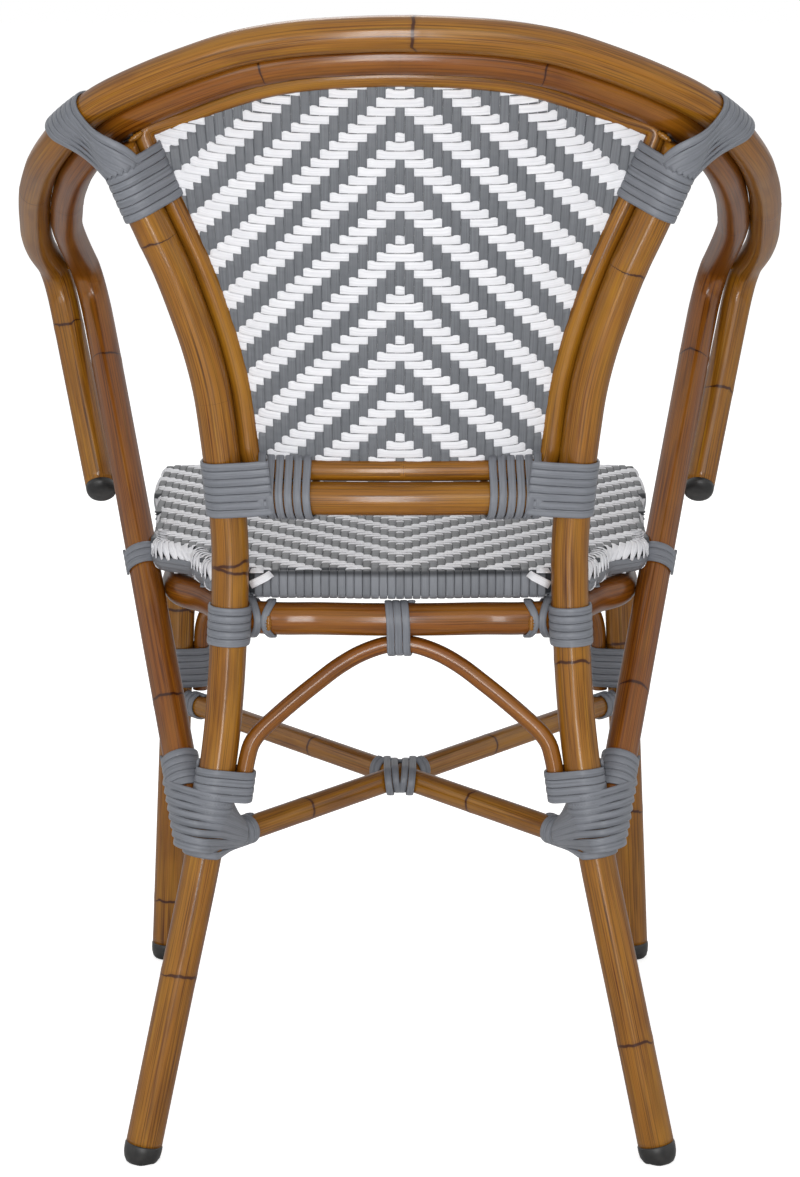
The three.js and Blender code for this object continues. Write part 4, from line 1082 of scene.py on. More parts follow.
@dataclass
class Ends(Part):
    """Black feet of the legs and caps of the arms' free ends.

    Args:
        stem: how far they reach into the tubes.
        wall: how much narrower than the tube their stems are, in radius.
    """

    stem: float = 18.0
    wall: float = 1.6

    @staticmethod
    def turned(edge: Sequence, radius: float, base: Array, axis: Array) -> MeshData:
        """A closed turned solid, with its edge as distances past the radius and heights on the axis."""
        centre = 0.01
        rim = [(radius + past, height) for past, height in edge]
        return lathe([(centre, edge[0][1]), *rim, (centre, edge[-1][1])], base, axis)

    def foot(self, route: Route, radius: float) -> MeshData:
        """A foot with a rolled edge, cut level with the floor."""
        base = route.points[0]
        rim = TubeFrame.foot_height
        edge = [(-4.4, -3.0), (-2.6, -1.5), (-0.9, 1.2), (0.2, 5.0), (0.6, 9.0), (0.6, rim - 1.2),
                (0.1, rim - 0.2), (-self.wall, rim), (-self.wall, rim + self.stem)]
        data = self.turned(edge, radius, base, unit(route.points[1] - base))
        data.verts[:, 2] = np.maximum(data.verts[:, 2], 0.0)
        return data

    def cap(self, route: Route, radius: float) -> MeshData:
        """A cap with a rounded edge, turned with the tube's end to the rear."""
        base = route.points[-1]
        axis = unit(route.points[-2] - base)
        edge = [(-4.6, -8.3), (-3.0, -7.9), (-1.4, -6.8), (-0.4, -5.2), (0.0, -3.6), (0.0, -0.4),
                (-self.wall, 0.0), (-self.wall, self.stem)]
        data = self.turned(edge, radius, base, axis)
        beside = data.verts - base
        beside = beside - axis * (beside @ axis)[:, None]
        data.verts += axis * (beside @ -AHEAD * math.tan(math.radians(ARM_MITRE)))[:, None]
        return data

    def build(self) -> None:
        """Makes the feet and caps of both sides."""
        ln = self.lines
        for name, data in (("rear_foot", self.foot(ln.rear_leg, SIZES.leg)),
                           ("front_foot", self.foot(ln.front_leg, SIZES.leg)),
                           ("arm_cap", self.cap(ln.outer_left, SIZES.outer))):
            self.place_pair(data, f"{name}_moulding", self.finishes.black, "black_plastic", name)


# Lashings.


@dataclass(frozen=True)
class Member:
    """A tube inside a lashing."""

    route: Route
    radius: float

    def reach(self, origin: Array, axis: Array, distance: float, direction: Array) -> float:
        """How far the tube reaches across an axis.

        Args:
            origin: a point on the axis.
            axis: the axis.
            distance: where on the axis it is measured, from the origin.
            direction: the direction across the axis.

        Returns:
            The reach, or minus infinity where the tube isn't there.
        """
        hit = self.route.crossing(origin, axis, distance)
        if hit is None:
            return -math.inf
        point, tangent = hit
        rise = abs(tangent @ axis)
        lean = tangent - axis * (tangent @ axis)
        size = np.linalg.norm(lean)
        along = (direction @ lean) / size if size > 1e-9 else 0.0
        spread = math.sqrt(max(0.0, 1 - along * along + (along / max(rise, 1e-6)) ** 2))
        return (point - origin) @ direction + self.radius * spread


@dataclass(frozen=True)
class LashingSizes:
    """Strand of the lashings and how it lies.

    Args:
        pitch: from one loop to the next.
        section: the strand's own section.
        lift: from a tube's face to the strand's middle.
        corners: directions round one loop.
        step: from one point of its line to the next.
        tone: its tone.
    """

    pitch: float = 6.0
    section: StrandSection = StrandSection(5.85, 2.3, 3.4, 14)
    lift: float = 1.25
    corners: int = 40
    step: float = 2.5
    tone: float = 0.3


LASHING = LashingSizes()


class Lashing:
    """One lashing round a bundle of tubes.

    Args:
        bundle: the tubes inside the loops.
        origin: its middle on the axis.
        axis: the direction from loop to loop.
        toward: a direction across the axis.
        pitch: from loop to loop.
        lift: from a tube's face to the strand's middle.
    """

    def __init__(self, bundle: Sequence[Member], origin: Array, axis: Array, toward: Array,
                 pitch: float = LASHING.pitch, lift: float = LASHING.lift) -> None:
        """Settles the directions across the axis."""
        self.bundle = bundle
        self.pitch = pitch
        self.lift = lift
        self.origin = np.array(origin, float)
        self.axis = unit(np.array(axis, float))
        self.first = unit(toward - self.axis * (toward @ self.axis))
        self.second = np.cross(self.axis, self.first)

    def support(self, members: Sequence[Member], distance: float, direction: Array) -> float:
        """How far a bundle reaches in a direction, over the strand's width."""
        half = LASHING.section.width / 2
        return max(m.reach(self.origin, self.axis, distance + s, direction)
                   for m in members for s in (-half, half))

    def facing(self, angle: float) -> Array:
        """A direction across the axis."""
        return self.first * math.cos(angle) + self.second * math.sin(angle)

    def meet(self, distance: float, a: Array, reach_a: float, b: Array, reach_b: float) -> Array:
        """Where two support lines of one loop meet."""
        cos = a @ b
        scale = 1 / (1 - cos * cos)
        return (self.origin + self.axis * distance + a * (reach_a - cos * reach_b) * scale
                + b * (reach_b - cos * reach_a) * scale)

    def coil(self, loops: int) -> MeshData:
        """One strand wound in full loops."""
        n = LASHING.corners
        total = loops * n
        angle = 2 * math.pi / n
        points, normals = [], []
        for k in range(total + 1):
            distance = (k - total / 2) * self.pitch / n
            a, b = self.facing(k * angle), self.facing((k + 1) * angle)
            reach_a = self.support(self.bundle, distance, a) + self.lift
            reach_b = self.support(self.bundle, distance, b) + self.lift
            points.append(self.meet(distance, a, reach_a, b, reach_b))
            normals.append(unit(a + b))
        return self.even(np.array(points), np.array(normals), LASHING.tone)

    @staticmethod
    def even(points: Array, normals: Array, tone: float) -> MeshData:
        """The strand's mesh, with evenly spaced points and eased over its corners."""
        run = Route(points).run
        keep = np.concatenate([[True], np.diff(run) > 1e-4])
        run, points, normals = run[keep], points[keep], normals[keep]
        want = np.linspace(0, run[-1], max(8, int(run[-1] / LASHING.step)))
        n = sampled(want, run, normals)
        for _ in range(2):
            n[1:-1] = n[1:-1] / 2 + (n[:-2] + n[2:]) / 4
        return ribbon(sampled(want, run, points), unit(n), LASHING.section, tone)

    def strap(self, passes: int, reach: float, along: Sequence[Member] = (), gather: float = 0.0) -> MeshData:
        """One strand laid to and fro round a post, with its ends toward a joined tube.

        Args:
            passes: how often it goes round.
            reach: how far its ends go along the joined tube.
            along: the joined tube.
            gather: angle round the joined tube over which its ends come down on it, or 0 for level ends.

        Returns:
            The strand's mesh.
        """
        n = LASHING.corners // 2
        strands = []
        for i in range(passes):
            distance = (i - (passes - 1) / 2) * self.pitch
            share = 2 * i / (passes - 1) - 1
            start = self.origin + self.axis * distance
            lines = [self.facing(math.pi / 2 + math.pi * k / n) for k in range(n + 1)]
            reaches = [self.support(self.bundle, distance, line) + self.lift for line in lines]
            for k in (0, n):
                if along:
                    beside = Lashing(along, self.origin, self.first, lines[k])
                    across = [beside.support(along, r, lines[k]) for r in (reach, reach / 2)]
                    reaches[k] = max(reaches[k], max(across) + self.lift)
            ends = [start + lines[k] * reaches[k] + self.first * reach for k in (0, n)]
            sides = [lines[0], lines[n]]
            if gather:
                middle, _ = along[0].route.crossing(self.origin, self.first, reach)
                rise = self.axis * math.sin(share * gather)
                sides = [line * math.cos(share * gather) + rise for line in sides]
                ends = [middle + side * (along[0].radius + self.lift) for side in sides]
            bends = [self.meet(distance, lines[k], reaches[k], lines[k + 1], reaches[k + 1])
                     for k in range(n)]
            path = np.array([ends[0], *bends, ends[1]])
            faces = np.array([sides[0], *[unit(lines[k] + lines[k + 1]) for k in range(n)], sides[1]])
            turn = -1 if i % 2 else 1
            tone = LASHING.tone * (0.4 + 0.6 * ((i * 7) % 5) / 4)
            strands.append(self.even(path[::turn], faces[::turn], tone))
        return MeshData.joined(strands)


def taut(path: Array, members: Sequence[Member], lift: float, rounds: int = 60, margin: float = 4.0) -> tuple:
    """Draws a strand tight over tubes.

    Args:
        path: its first guess.
        members: the tubes that it lies on.
        lift: from a tube's face to the strand's middle.
        rounds: how often it is smoothed and pushed out again.
        margin: distance off a tube at which that tube still turns its outward direction.

    Returns:
        Its points and their outward directions.
    """
    points = Route(path).spaced(LASHING.step).points
    faces = np.zeros_like(points)
    for _ in range(rounds):
        points[1:-1] = points[1:-1] / 2 + (points[:-2] + points[2:]) / 4
        faces[:] = 0
        for member in members:
            line = member.route.points
            gaps = np.linalg.norm(points[:, None, :] - line[None, :, :], axis=2)
            near = np.clip(gaps.argmin(1), 1, len(line) - 2)
            step = line[near + 1] - line[near - 1]
            share = np.sum((points - line[near - 1]) * step, axis=1) / np.sum(step * step, axis=1)
            foot = line[near - 1] + step * np.clip(share, 0, 1)[:, None]
            away = points - foot
            size = np.linalg.norm(away, axis=1)
            need = member.radius + lift
            close = size < need + margin
            faces[close] += unit(away[close]) * np.clip((need + margin - size[close]) / margin, 0, 1)[:, None]
            deep = size < need
            points[deep] = foot[deep] + unit(away[deep]) * need
    lone = np.linalg.norm(faces, axis=1) < 1e-6
    for i in np.nonzero(lone)[0]:
        others = np.nonzero(~lone)[0]
        faces[i] = faces[others[np.argmin(np.abs(others - i))]]
    for _ in range(4):
        faces[1:-1] = faces[1:-1] / 2 + (faces[:-2] + faces[2:]) / 4
    return points, unit(faces)


@dataclass
class Lashings(Part):
    """All the strand lashings of the joints.

    Args:
        stile_height: height of the middle of the stile lashing.
        post_height: of the post lashing.
        arch_heights: of the lashings of the rear and of the front arch.
        fan_height: of the fan lashing.
        rail_x: how far from the middle the rail lashing is.
        band_strands: strands over both bows at each corner.
        band_width: how far they are spread along the bow.
        band_reach: angle round the stile to which the outer ones come down.
    """

    stile_height: float = 742.4
    post_height: float = 518.8
    arch_heights: tuple = (286.0, 276.0)
    fan_height: float = 260.0
    rail_x: float = 83.0
    band_strands: int = 7
    band_width: float = 40.0
    band_reach: float = math.radians(52)

    over_bow = np.array([0.62, 0.25, 0.78])
    band_facing = np.array([0.1, 1.0, 0.15])
    crossing_spot = np.array([0.0, -211.4, 244.0])

    def __post_init__(self) -> None:
        """Makes a member of every tube that is lashed."""
        ln = self.lines
        self.leg = Member(ln.rear_leg, SIZES.leg)
        self.outer = Member(ln.outer, SIZES.outer)
        self.inner = Member(ln.inner_left, SIZES.inner)
        self.hoop = Member(ln.hoop.loop(), SIZES.hoop)
        self.rail = Member(ln.rail, SIZES.rail)
        self.ring = Member(ln.ring.loop(), SIZES.ring)
        self.rear_arch = Member(ln.rear_arch, SIZES.arch)
        self.front_arch = Member(ln.front_arch, SIZES.arch)
        self.front_leg = Member(ln.front_leg, SIZES.leg)
        self.stretcher = Member(ln.stretcher, SIZES.stretcher)
        self.cross = Member(ln.cross_stretcher, SIZES.stretcher)

    def pair(self, name: str, data: MeshData) -> None:
        """Adds a lashing and its mirror image in place of their nodes."""
        self.place_pair(data, f"{name}_strand", self.finishes.grey, "grey_strand", name)

    def wound(self, name: str, bundle: Sequence[Member], place: Crossing, toward: Array, loops: int,
              **form: float) -> None:
        """Adds a pair of lashings that are wound in full loops round a bundle, along place's direction."""
        self.pair(name, Lashing(bundle, *place, toward, **form).coil(loops))

    def build(self) -> None:
        """Makes every lashing."""
        self.back_joints()
        self.seat_joints()
        self.lower_joints()
        self.front_joints()

    def back_joints(self) -> None:
        """Lashings between the back, its stiles and the bows."""
        ln = self.lines
        spot, stile_axis = ln.rear_leg.at_height(self.stile_height)
        self.wound("stile_lashing", [self.leg, self.hoop], (spot, stile_axis), AHEAD, 7)
        stile_end = spot + stile_axis * (7 * LASHING.pitch / 2 + LASHING.pitch + 2.7)
        place = ln.rail.crossing(np.array([self.rail_x, -49.0, 510.5]), OUTWARD)
        self.wound("rail_lashing", [self.rail, self.hoop], place, UP, 6, pitch=6.8, lift=2.6)
        spot, axis = ln.rear_leg.at_height(self.post_height)
        reach = 129.7 - self.rail_x - 6 * LASHING.pitch / 2 + 6.6
        hoop = ln.hoop.points
        side_hoop = Member(Route(hoop[(hoop[:, 0] > 100) & (hoop[:, 2] < 786)]), SIZES.hoop)
        post = Lashing([self.leg, side_hoop], spot, axis, -OUTWARD)
        self.pair("post_lashing", post.strap(7, reach, [self.rail]))
        self.pair("corner_lashing", self.corner_straps(stile_end, stile_axis))

    def corner_straps(self, stile_end: Array, stile_axis: Array) -> MeshData:
        """Strands over both bows that come down over the stile's top.

        Args:
            stile_end: the middle of the stile lashing's upper end.
            stile_axis: direction of the stile there.

        Returns:
            Their mesh.
        """
        centre, tangent = self.lines.outer_left.crossing(np.array([234.0, -33.0, 786.0]), OUTWARD)
        out = unit(self.over_bow - tangent * (self.over_bow @ tangent))
        under = unit(np.cross(tangent, out))
        under = -under if under[1] > 0 else under
        rear = unit(self.band_facing - stile_axis * (self.band_facing @ stile_axis))
        beside = unit(np.cross(stile_axis, rear))
        end = stile_end - stile_axis * 15.0
        made = []
        for i in range(self.band_strands):
            share = i / (self.band_strands - 1) - 0.5
            start = centre + tangent * share * self.band_width
            turn = -2 * share * self.band_reach
            facing = rear * math.cos(turn) + beside * math.sin(turn)
            end_rear = end + facing * (SIZES.leg + LASHING.lift)
            end_front = end - facing * (SIZES.leg + LASHING.lift)
            top = start + out * 15 + rear * 4
            guess = np.array([end_rear, lerp(end_rear, top, 0.5), top, start + out * 8 + under * 15,
                              start + under * 24 - out * 14, start - out * 40 + under * 6, end_front])
            points, faces = taut(guess, [self.outer, self.inner, self.leg], LASHING.lift + 0.22 * i)
            made.append(ribbon(points, faces, LASHING.section, 0.2 + 0.15 * ((i * 3) % 4)))
        return MeshData.joined(made)

    def seat_joints(self) -> None:
        """Lashings where the rear legs and the bows carry the seat ring."""
        ln = self.lines
        spot, axis = ln.rear_leg.at_height(412.0)
        self.pair("ring_lashing", Lashing([self.leg], spot, axis, AHEAD).strap(5, 7.5))
        self.pair("ring_collar", self.crossed_collar())
        place = ln.inner_left.crossing(np.array([202.0, -176.0, 433.0]), UP)
        self.wound("bow_tie", [self.inner], place, OUTWARD, 3)
        for name, member, y in (("rear_tie", self.rear_arch, -64.9), ("front_tie", self.front_arch, -494.0)):
            tie = Lashing([self.ring, member], np.array([0.0, y, 412.0]), OUTWARD, UP).coil(3)
            self.place(tie, f"{name}_strand", self.finishes.grey, "grey_strand", name)

    def crossed_collar(self) -> MeshData:
        """Two strands round the ring that bow toward each other beside the leg."""
        ring = self.ring.route
        angle = np.radians(np.linspace(-200, 200, 81))
        made = []
        for waist, spread, lift in ((102.6, -6.0, 0.2), (107.6, 5.0, 1.2)):
            points, faces = [], []
            for turn in angle:
                x = waist + spread * math.sin(turn) ** 2
                centre, _ = ring.crossing(np.array([x, -70.0, 412.0]), OUTWARD)
                face = unit(-AHEAD * math.cos(turn) + UP * math.sin(turn))
                points.append(centre + face * (SIZES.ring + LASHING.lift + lift))
                faces.append(face)
            made.append(ribbon(np.array(points), np.array(faces), LASHING.section, LASHING.tone))
        return MeshData.joined(made)

    def lower_joints(self) -> None:
        """Lashings of the lower rear joints."""
        ln = self.lines
        place = ln.rear_leg.at_height(self.arch_heights[0])
        self.wound("rear_arch_lashing", [self.leg, self.rear_arch], place, OUTWARD, 6)
        run = ln.stretcher.points
        stretcher_axis = unit(run[-1] - run[0])
        spot, axis = ln.rear_leg.at_height(self.fan_height)
        # The bow is taken as straight past its end here, so that the fan's lower strands don't sink in.
        bow = ln.inner_left.points
        past = Route(np.vstack([bow[-12], bow[-1] + unit(bow[-1] - bow[-12]) * 22]))
        fan = Lashing([self.leg, Member(past, SIZES.inner)], spot, axis, stretcher_axis, pitch=5.6)
        self.pair("fan_lashing", fan.strap(9, 35.0, [self.stretcher], gather=1.3))
        place = ln.inner_left.crossing(np.array([145.0, -36.0, 292.0]), UP)
        self.wound("bow_collar", [self.inner], place, OUTWARD, 5)
        self.wound("rear_collar", [self.stretcher], (run[0] + stretcher_axis * 42, stretcher_axis), UP, 3)

    def front_joints(self) -> None:
        """Lashings of the front legs and of the stretchers' crossing."""
        ln = self.lines
        run = ln.cross_stretcher.points
        axis = unit(run[0] - run[-1])
        self.wound("front_collar", [self.cross], (run[-1] + axis * 32, axis), UP, 3)
        place = ln.front_leg.at_height(self.arch_heights[1])
        self.wound("front_arch_lashing", [self.front_leg, self.front_arch], place, OUTWARD, 6)
        middle = self.crossing_spot
        across = Lashing([self.stretcher, self.cross], middle + OUTWARD * 4.5, OUTWARD, UP).coil(2)
        beside = Lashing([self.cross], middle - axis * 18.5, axis, UP).coil(2)
        self.pair("centre_lashing", MeshData.joined([across, beside]))


# Woven panels.


@dataclass(frozen=True)
class WeaveSizes:
    """The twill of both panels.

    Args:
        column_pitch: from one upright strand to the next, at the middle.
        row_pitch: from one crossing strand to the next.
        lift: how far a strand's middle stands off the panel's middle where it is on top.
        section: the strands' section.
        float_length: strands that one passes over before it goes under.
        shares: where a strand's path has its points, from one crossing's middle as a share of the way.
        rise: how far a float's end widens upward.
        swell: how much wider it gets there, as a share.
    """

    column_pitch: float = 6.7
    row_pitch: float = 6.16
    lift: float = 0.75
    section: StrandSection = StrandSection(5.95, 1.3, 3.4, 12)
    float_length: int = 3
    shares: tuple = (-0.27, 0.0, 0.27)
    rise: float = 1.1
    swell: float = 0.34


WEAVE = WeaveSizes()


def white_on_top(column: Array, row: Array) -> Array:
    """True where the crossing white strand lies over the grey one in the chevron twill."""
    return np.isin(np.mod(np.abs(column) - row, 2 * WEAVE.float_length), (4, 5, 0))


def over_and_under(places: Array, on_top: Array) -> Array:
    """A strand's path over and under the strands that it crosses.

    Args:
        places: its crossings, as two coordinates in the panel.
        on_top: whether it is the upper strand at each.

    Returns:
        The two coordinates and the offset from the panel's middle, at three places for each crossing.
    """
    before = np.concatenate([on_top[:1], on_top[:-1]])
    after = np.concatenate([on_top[1:], on_top[-1:]])
    lift = WEAVE.lift * np.where(before & after & on_top, 1.45, np.where(before | after, 1.0, 0.8))
    lift = np.where(on_top, lift, -WEAVE.lift)
    step = np.gradient(places, axis=0)
    out = [np.column_stack([places + step * share, lift * (1.0 if share else 1.06)])
           for share in WEAVE.shares]
    return np.stack(out, axis=1).reshape(-1, 3)


def float_ends(places: Array, on_top: Array) -> tuple:
    """How crossing strands widen upward where they come out from under an upright strand.

    Args:
        places: distance of each crossing from the panel's middle, signed.
        on_top: whether the crossing strand is the upper one.

    Returns:
        Rise in millimetres and share of the full width, at three places for each crossing.
    """
    outer = np.where(places >= 0, np.append(on_top[1:], True), np.append(True, on_top[:-1]))
    first = on_top & ~outer
    toward = np.sign(places + 1e-6)
    near = [first * np.clip(0.55 + toward * share / 0.6, 0.1, 1) for share in WEAVE.shares]
    near = np.stack(near, axis=1).reshape(-1)
    return WEAVE.rise * near, 1 + WEAVE.swell * near


@dataclass
class BackPanel(Part):
    """The woven back inside its hoop.

    Args:
        top_row_height: height of the first crossing strand at the middle.
        corner_height: height of the hoop's lower corners.
        upright_cover: width of an upright strand, as a share of the way to the next.
        fewest: points inside the hoop without which a strand is left out.
    """

    top_row_height: float = 777.6
    corner_height: float = 545.0
    upright_cover: float = 0.985
    fewest: int = 6

    rearward = np.array([0.0, 0.99, -0.15])

    def __post_init__(self) -> None:
        """Finds the left side of the hoop's line, below its widest place and above it."""
        hoop = self.lines.hoop.points
        left = hoop[hoop[:, 0] >= -0.01]
        edge = left[np.argsort(np.arctan2(left[:, 0], -(left[:, 2] - 660)))]
        turn = int(np.argmax(edge[:, 0]))
        self.low_side, high = edge[:turn + 1], edge[turn:]
        self.widest_height = high[0, 2]
        self.high_by_width = high[np.argsort(high[:, 0])]
        self.high_by_height = high[np.argsort(high[:, 2])]

    def half_width(self, z: Array) -> Array:
        """Half width of the hoop at a height."""
        low = np.interp(z, self.low_side[:, 2], self.low_side[:, 0])
        high = np.interp(z, self.high_by_height[:, 2], self.high_by_height[:, 0])
        return np.where(z < self.widest_height, low, high)

    def inside(self, x: Array, z: Array) -> Array:
        """True where a place is inside the hoop's line."""
        low = np.interp(np.abs(x), self.low_side[:, 0], self.low_side[:, 2])
        high = np.interp(np.abs(x), self.high_by_width[:, 0], self.high_by_width[:, 2])
        return (z > low) & (z < high) & (np.abs(x) < self.half_width(z))

    def depth(self, x: Array, z: Array) -> Array:
        """The panel's y, which is that of the hoop at its sides."""
        middle = np.interp(z, [530.3, 822.7], [-46.6, -2.1])
        level = np.maximum(z, self.corner_height)
        side = np.interp(level, self.low_side[:, 2], self.low_side[:, 1])
        wide = np.interp(level, self.low_side[:, 2], self.low_side[:, 0])
        return middle + (side - middle) * (x / wide) ** 2

    def column_at_top(self, column: Array) -> Array:
        """Where an upright strand starts: they stand a little farther apart toward the sides."""
        steps = np.arange(0, 40)
        places = np.zeros(len(steps))
        for i in steps[1:]:
            before = places[i - 1]
            places[i] = before + WEAVE.column_pitch * (1 + 0.05 * (before / 160) ** 2)
        return np.sign(column) * np.interp(np.abs(column), steps, places)

    def column_place(self, column: Array, z: Array) -> Array:
        """Where an upright strand is at a height: the outer ones lean with the hoop."""
        top = self.column_at_top(column)
        lean = 0.12 * np.minimum(np.abs(top) / 156, 1) ** 4
        return top - np.sign(top) * lean * (786 - z)

    def row_height(self, row: Array, x: Array) -> Array:
        """Height of a crossing strand, which sags toward the middle."""
        z = self.top_row_height - row * WEAVE.row_pitch
        wide = np.maximum(self.half_width(z), 60)
        return z + 0.07 * wide * np.minimum(np.abs(x) / wide, 1) ** 3.5

    def strand(self, x: Array, z: Array, on_top: Array, section: StrandSection, rng: np.random.Generator,
               rise: Number = 0.0, widths: Array | None = None) -> list:
        """One strand, with its ends drawn into the hoop's middle.

        Args:
            x: distances of its crossings from the middle.
            z: their heights.
            on_top: whether it is the upper strand at each.
            section: its section.
            rng: source of its tone.
            rise: how far each point of its path is lifted.
            widths: share of the full width at each point of its path.

        Returns:
            Its mesh, or nothing where too little of it is inside the hoop.
        """
        path = over_and_under(np.stack([x, z], axis=1), on_top)
        inside = self.inside(path[:, 0], path[:, 1])
        if inside.sum() < self.fewest:
            return []
        path[:, 1] += rise
        hits = np.nonzero(inside)[0]
        part = slice(hits[0], hits[-1] + 1)
        x, z, offset = path[part].T
        offset[[0, -1]] = 0.0
        points = np.stack([x, self.depth(x, z), z], axis=1) + self.rearward * offset[:, None]
        faces = np.tile(self.rearward, (len(x), 1))
        return [ribbon(points, faces, section, rng.random(), None if widths is None else widths[part])]

    def build(self) -> None:
        """Makes the upright grey and the crossing white strands."""
        rng = np.random.default_rng(4)
        greys, whites = [], []
        rows = np.arange(-9, 43)
        limit = int(np.searchsorted(self.column_at_top(np.arange(40)), 180))
        cols = np.arange(-limit, limit + 1)
        for c in cols:
            column = np.full(len(rows), c)
            x = self.column_place(column, self.top_row_height - rows * WEAVE.row_pitch)
            z = self.row_height(rows, x)
            narrow = float(self.column_at_top(abs(c) + 1) - self.column_at_top(abs(c))) * self.upright_cover
            section = StrandSection(narrow, WEAVE.section.thickness, 5.0, WEAVE.section.points)
            greys += self.strand(self.column_place(column, z), z, ~white_on_top(column, rows), section, rng)
        for r in rows:
            row = np.full(len(cols), r)
            x = self.column_place(cols, self.row_height(row, self.column_at_top(cols)))
            on_top = white_on_top(cols, row)
            whites += self.strand(x, self.row_height(row, x), on_top, WEAVE.section, rng,
                                  *float_ends(x, on_top))
        self.place(MeshData.joined(greys), "back_upright_strands", self.finishes.weave_grey, "weave",
                    "woven_back")
        self.place(MeshData.joined(whites), "back_crossing_strands", self.finishes.white, "weave")


@dataclass(frozen=True)
class EdgeStrands:
    """How the strands round a rear corner of the seat's edge lie.

    Args:
        section: their section.
        pitch: from one to the next along the outline.
        slant: how far each leans along the outline.
        inset: how far inside the edge it starts.
        drop: how far under the top it starts.
        lift: how far it lies off the body.
        leaf: true where they overlap like tiles and end in points half way down.
        tilt: how far a leaf's face is turned back along the outline.
    """

    section: StrandSection
    pitch: float
    slant: float
    inset: float = 8.0
    drop: float = 1.6
    lift: float = 0.5
    leaf: bool = False
    tilt: float = 0.24


@dataclass
class SeatPanel(Part):
    """The woven seat over its ring.

    Args:
        edge_rear, edge_side, edge_front: how far the seat stands past the ring's line.
        corner_out: how much farther it stands out at the front corners.
        bottom: height of its underside.
        top: height of its top at the edge.
        crown: how much higher its middle is.
        radius: how far the rounding of its edge reaches inward.
        column_pitch, section: way to the next lengthwise strand, and its section.
        row_pitch, white_section: the same of the crossing strands.
        lift: how far a strand's middle stands off the weave's middle.
        square_enough: cosine between strand and edge over which a strand goes round it.
        dive: how far a strand reaches in under the seat.
    """

    edge_rear: float = 5.0
    edge_side: float = 20.0
    edge_front: float = 14.0
    corner_out: float = 16.0
    bottom: float = 427.7
    top: float = 450.7
    crown: float = 2.0
    radius: float = 8.0
    column_pitch: float = 6.3
    row_pitch: float = 7.0
    section: StrandSection = StrandSection(6.15, 1.5, 3.0, 12)
    white_section: StrandSection = StrandSection(6.4, 1.0, 3.0, 8)
    lift: float = 0.6
    square_enough: float = 0.93
    dive: float = 9.0

    corner_y = -84
    leaves = EdgeStrands(StrandSection(7.4, 1.0, 2.6, 10), 6.4, 15.0, 3.5, 0.6, 1.1, leaf=True)
    corner = EdgeStrands(StrandSection(6.15, 1.5, 3.0, 12), 5.8, 2.0)
    band_section = StrandSection(4.8, 1.3, 3.0, 8)

    def __post_init__(self) -> None:
        """Finds the seat's outline."""
        ring = self.lines.ring.spaced(4.0)
        out = self.outward_of(ring)
        front = np.maximum(0, -out[:, 1]) ** 2
        rearness = smoothstep(out[:, 1], 0.2, 0.9)
        edge = lerp(lerp(self.edge_side, self.edge_front, front), self.edge_rear, rearness)
        edge = edge + self.corner_out * 4 * front * (1 - front)
        self.whole = Route(ring.points + out * edge[:, None], True).spaced(2.0)
        self.normals = self.outward_of(self.whole)
        half = self.whole.points[self.whole.points[:, 0] >= -0.01]
        self.outline = half[np.argsort(-np.arctan2(half[:, 1] + 280, half[:, 0]))]
        self.rear_y = float(self.outline[0, 1])
        self.front_y = float(self.outline[-1, 1])

    @staticmethod
    def outward_of(route: Route) -> Array:
        """Level direction away from the seat's middle, at each point of a line round it."""
        out = unit(np.cross(route.tangents(), UP))
        flip = np.sum(out * (route.points - [0.0, -280.0, 412.0]), axis=1) < 0
        out[flip] *= -1
        return out

    def half_width(self, y: Array) -> Array:
        """Half width of the seat at a distance back."""
        order = np.argsort(self.outline[:, 1])
        return np.interp(y, self.outline[order, 1], self.outline[order, 0])

    def span(self, x: float) -> tuple:
        """Front and rear y of the seat at a distance from the middle."""
        wide = int(np.argmax(self.outline[:, 0]))
        rear, front = self.outline[:wide + 1], self.outline[wide:][::-1]
        x = abs(x)
        return float(np.interp(x, front[:, 0], front[:, 1])), float(np.interp(x, rear[:, 0], rear[:, 1]))

    def facing(self, x: float, y: float) -> Array:
        """Outward direction of the edge nearest to a place."""
        gaps = np.hypot(self.whole.points[:, 0] - x, self.whole.points[:, 1] - y)
        return self.normals[int(np.argmin(gaps))]

    def top_height(self, x: Array, y: Array) -> Array:
        """Height of the seat's top, which is a little crowned."""
        wide = np.maximum(self.half_width(y), 1)
        along = (y - self.front_y) / (self.rear_y - self.front_y)
        dome = np.clip(1 - (x / wide) ** 2, 0, 1) * np.clip(4 * along * (1 - along), 0, 1)
        return self.top - self.lift - 0.65 + self.crown * dome

    def edge_arc(self, steps: int = 9) -> tuple:
        """The rounded edge, from the top to the underside.

        Returns:
            Insets from the outline, heights, and the outward directions' level and upright parts.
        """
        angle = np.linspace(math.pi / 2, -math.pi / 2, steps)
        low, high = self.bottom + 0.8, self.top - 0.9
        bulge = np.sign(np.cos(angle)) * np.abs(np.cos(angle)) ** 0.62
        rise = np.sign(np.sin(angle)) * np.abs(np.sin(angle)) ** 0.62
        inset = self.radius * (1 - bulge)
        height = (low + high) / 2 + (high - low) / 2 * rise
        return inset, height, np.cos(angle), np.sin(angle)

    def wrap(self, end: Array, toward: Array, slope: float = 1.0) -> tuple:
        """A strand's way round the edge.

        Args:
            end: where it meets the outline, level.
            toward: the strand's level direction, outward.
            slope: cosine between it and the outline's own outward direction.

        Returns:
            Points and outward directions from the top to the underside.
        """
        inset, height, level, upright = self.edge_arc()
        inset = np.append(inset, inset[-1] + self.dive)
        height = np.append(height, height[-1] + 0.3)
        level, upright = np.append(level, 0.0), np.append(upright, -1.0)
        points = end[None, :] - toward[None, :] * (inset / max(slope, 0.5))[:, None]
        points[:, 2] = height
        return points, toward[None, :] * level[:, None] + UP[None, :] * upright[:, None]

